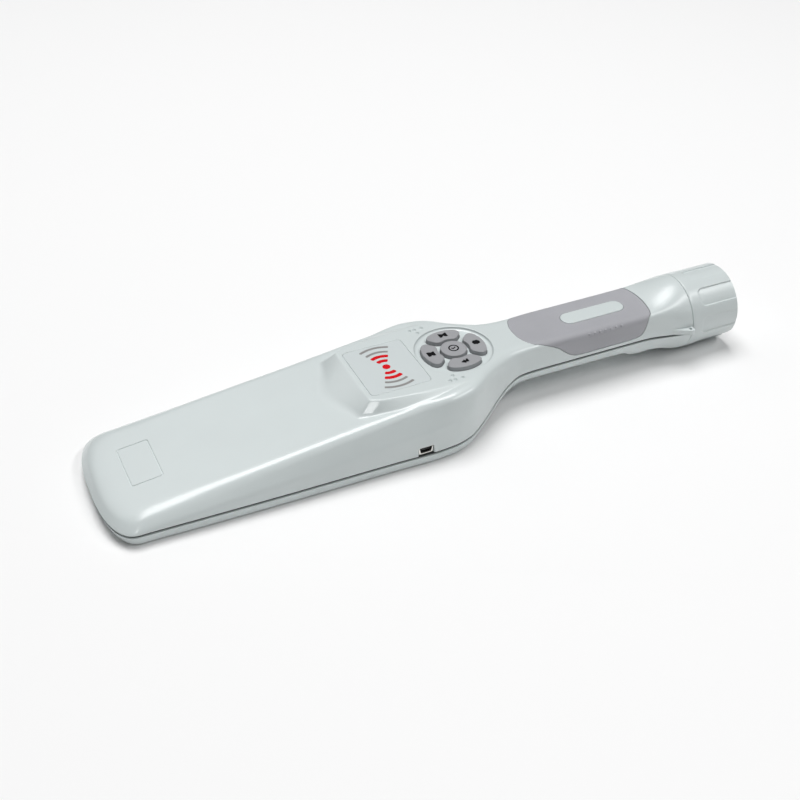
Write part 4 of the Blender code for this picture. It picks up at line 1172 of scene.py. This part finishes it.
def surface(
    name, colour, rough, grain, metal=0.0, mottle=0.03, wear=0.05, specular=0.5, coat=0.0,
    stretch=(1, 1, 1), uneven=0.04, dulled=None,
):
    """A procedural surface: fine grain, slow colour and gloss changes, and paler worn edges.

    The coat may be dulled by handling over a range of X.
    """
    look = bpy.data.materials.new(name)
    look.use_nodes = True
    nodes, links = look.node_tree.nodes, look.node_tree.links
    shader = nodes["Principled BSDF"]
    fixed(shader, Metallic=metal, Specular_IOR_Level=specular, Coat_Weight=coat, Coat_Roughness=COAT_CLEAR)
    place = nodes.new("ShaderNodeTexCoord")
    scaled = fixed(nodes.new("ShaderNodeMapping"), Scale=stretch)
    links.new(place.outputs["Object"], scaled.inputs["Vector"])

    def noise(scale, detail, rough_detail=0.5):
        node = fixed(nodes.new("ShaderNodeTexNoise"), Scale=scale, Detail=detail, Roughness=rough_detail)
        links.new(scaled.outputs["Vector"], node.inputs["Vector"])
        return node.outputs["Fac"]

    def ranged(value, low, high, start=0.3, end=0.7):
        node = nodes.new("ShaderNodeMapRange")
        fixed(node, From_Min=start, From_Max=end, To_Min=low, To_Max=high)
        links.new(value, node.inputs["Value"])
        return node.outputs["Result"]

    def added(a, b, operation="ADD"):
        node = nodes.new("ShaderNodeMath")
        node.operation = operation
        for value, socket in ((a, node.inputs[0]), (b, node.inputs[1])):
            if isinstance(value, (int, float)):
                socket.default_value = value
            else:
                links.new(value, socket)
        return node.outputs["Value"]

    cloud = noise(38, 3)
    speck = noise(grain[0] * 0.35, 4, 0.65)
    fleck = mottle * 0.6
    shade = added(ranged(cloud, 1 - mottle, 1 + mottle), ranged(speck, 1 - fleck, 1 + fleck), "MULTIPLY")
    geometry = nodes.new("ShaderNodeNewGeometry")
    edge = ranged(geometry.outputs["Pointiness"], 0, wear, 0.54, 0.64)
    worn = added(shade, edge)
    tint = nodes.new("ShaderNodeVectorMath")
    tint.operation = "SCALE"
    tint.inputs[0].default_value = colour
    links.new(worn, tint.inputs["Scale"])
    links.new(tint.outputs["Vector"], shader.inputs["Base Color"])
    gloss = added(ranged(noise(210, 3), rough - uneven, rough + uneven), edge)
    links.new(gloss, shader.inputs["Roughness"])
    if dulled:
        along = nodes.new("ShaderNodeSeparateXYZ")
        links.new(place.outputs["Object"], along.inputs["Vector"])
        haze = ranged(along.outputs["X"], COAT_CLEAR, COAT_DULLED, *dulled)
        links.new(haze, shader.inputs["Coat Roughness"])
    bump = fixed(nodes.new("ShaderNodeBump"), Strength=1.0, Distance=grain[1] * MM)
    links.new(noise(grain[0], 2, 0.55), bump.inputs["Height"])
    links.new(bump.outputs["Normal"], shader.inputs["Normal"])
    return look


SHELL = surface(
    "shell", (0.62, 0.675, 0.675), 0.33, (5200, 0.0012), mottle=0.012, wear=0.04, coat=0.45,
    uneven=0.03, dulled=(0.06, 0.13),
)
WINDOW = surface(
    "window_face", (0.60, 0.65, 0.655), 0.2, (5200, 0.0005), mottle=0.008, wear=0.02, uneven=0.01,
)
KEY = surface("keys", (0.33, 0.335, 0.35), 0.52, (3000, 0.03), mottle=0.06, wear=0.03, specular=0.4)
MAT = surface("mat", (0.20, 0.20, 0.21), 0.7, (2500, 0.03), mottle=0.05)
SEAL = surface("seal", (0.045, 0.05, 0.05), 0.65, (2500, 0.02), mottle=0.08)
GRIP = surface("soft_grip", (0.369, 0.372, 0.398), 0.5, (4200, 0.02), mottle=0.035, wear=0.03)
fixed(GRIP.node_tree.nodes["Principled BSDF"], Sheen_Weight=0.15, Sheen_Roughness=0.5)
TRAY = surface("moulded_tray", (0.72, 0.72, 0.68), 0.45, (3000, 0.01))
BLACK = surface("black_plastic", (0.015, 0.015, 0.016), 0.45, (3000, 0.02), mottle=0.1)
BOARD = surface("board", (0.012, 0.14, 0.05), 0.35, (1800, 0.02), mottle=0.12)
FILM = surface("film", (0.6, 0.62, 0.6), 0.34, (2600, 0.01))
RIBBON = surface("ribbon", (0.72, 0.38, 0.08), 0.35, (1500, 0.02), stretch=(1, 6, 0.2))
GLASS = surface("display_glass", (0.02, 0.025, 0.03), 0.08, (900, 0.002), mottle=0.05, coat=0.5)
COPPER = surface("coil_wire", (0.62, 0.22, 0.08), 0.34, (2200, 0.06), metal=1.0, stretch=(0.3, 0.3, 3))
STEEL = surface("screw_steel", (0.6, 0.6, 0.6), 0.32, (3600, 0.02), metal=1.0, mottle=0.06)
NICKEL = surface("nickel", (0.72, 0.71, 0.68), 0.22, (3000, 0.01), metal=1.0, mottle=0.05)
CELL = surface("cell_wrap", (0.05, 0.16, 0.36), 0.32, (1600, 0.01), mottle=0.05)
SLEEVE = surface("wire_sleeve", (0.5, 0.02, 0.02), 0.42, (2600, 0.02), mottle=0.05)
RED_INK = surface("red_ink", (0.62, 0.004, 0.01), 0.4, (6000, 0.004), specular=0.15, mottle=0.03, wear=0)
GREY_INK = surface("grey_ink", (0.26, 0.255, 0.25), 0.38, (6000, 0.004), mottle=0.04, wear=0)
DARK_INK = surface("dark_ink", (0.004, 0.004, 0.005), 0.6, (6000, 0.004), specular=0.1, mottle=0.1, wear=0)

CARRIED = {
    "display_module": GLASS, "front_board": BOARD, "main_board": BOARD, "board_ribbon": RIBBON,
    "processor_can": NICKEL, "buzzer": BLACK, "usb_tongue": BLACK, "keypad_mat": MAT, "dome_sheet": FILM,
    "antenna_tray": TRAY, "antenna_coil": COPPER, "antenna_lead": COPPER, "battery_cell": CELL,
    "battery_contact": NICKEL, "battery_lead": SLEEVE, "cap_contact_plate": NICKEL,
    "cap_contact_spring": NICKEL,
}


# ---------- stage, light and camera


def stage():
    shape = bmesh.new()
    bmesh.ops.create_grid(shape, x_segments=2, y_segments=2, size=6)
    mesh = bpy.data.meshes.new("floor")
    shape.to_mesh(mesh)
    shape.free()
    floor = placed("floor", mesh)
    white = bpy.data.materials.new("studio_floor")
    white.use_nodes = True
    shader = white.node_tree.nodes["Principled BSDF"]
    fixed(shader, Base_Color=(0.9, 0.9, 0.9, 1), Roughness=0.9, Specular_IOR_Level=0.1)
    mesh.materials.append(white)
    floor.location.z = CAD_LOW.z - 0.02 * MM


def aimed(thing, place, target):
    thing.location = place
    thing.rotation_euler = (Vector(target) - Vector(place)).to_track_quat("-Z", "Y").to_euler()


def softbox(name, place, target, size, power):
    data = bpy.data.lights.new(name, "AREA")
    data.shape = "RECTANGLE"
    data.size, data.size_y = size
    data.energy = power
    aimed(placed(name, data), place, target)


def lights():
    world = bpy.data.worlds.new("studio")
    world.use_nodes = True
    fixed(world.node_tree.nodes["Background"], Color=(1, 1, 1, 1), Strength=0.06)
    bpy.context.scene.world = world
    softbox("overhead", (0.05, 0.5, 2.35), (0, 0, 0), (1.3, 1.3), 45)
    softbox("rear", (-0.7, 1.7, 1.7), (0, 0, 0), (2.0, 1.6), 7)
    softbox("strip", (1.05, -1.0, 1.9), (0, 0, 0.02), (1.5, 0.14), 15)
    softbox("front", (-0.588, -1.02, 1.093), (0, 0, 0.03), (0.2, 0.2), 2.2)


def camera():
    data = bpy.data.cameras.new("camera")
    data.lens = 56.81
    data.sensor_width = 36
    view = placed("camera", data)
    aimed(view, (-0.24805, -0.50265, 0.4312), (-0.02235, -0.0103, 0.020))
    bpy.context.scene.camera = view


def build():
    camera()
    lights()
    stage()
    upper_shell(SHELL)
    lower_shell(SHELL)
    gasket(SEAL)
    screws(STEEL)
    keys(KEY)
    key_signs(DARK_INK)
    window(WINDOW)
    wave_sign(RED_INK, GREY_INK)
    usb_port(NICKEL)
    grip(GRIP, SHELL)
    grip_dots(GRIP)
    collar(TRAY, SEAL)
    battery_cap(SHELL)
    for name, look in CARRIED.items():
        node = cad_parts[name]
        node.data.materials.clear()
        node.data.materials.append(look)
    bpy.context.scene.view_settings.view_transform = "Standard"


build()
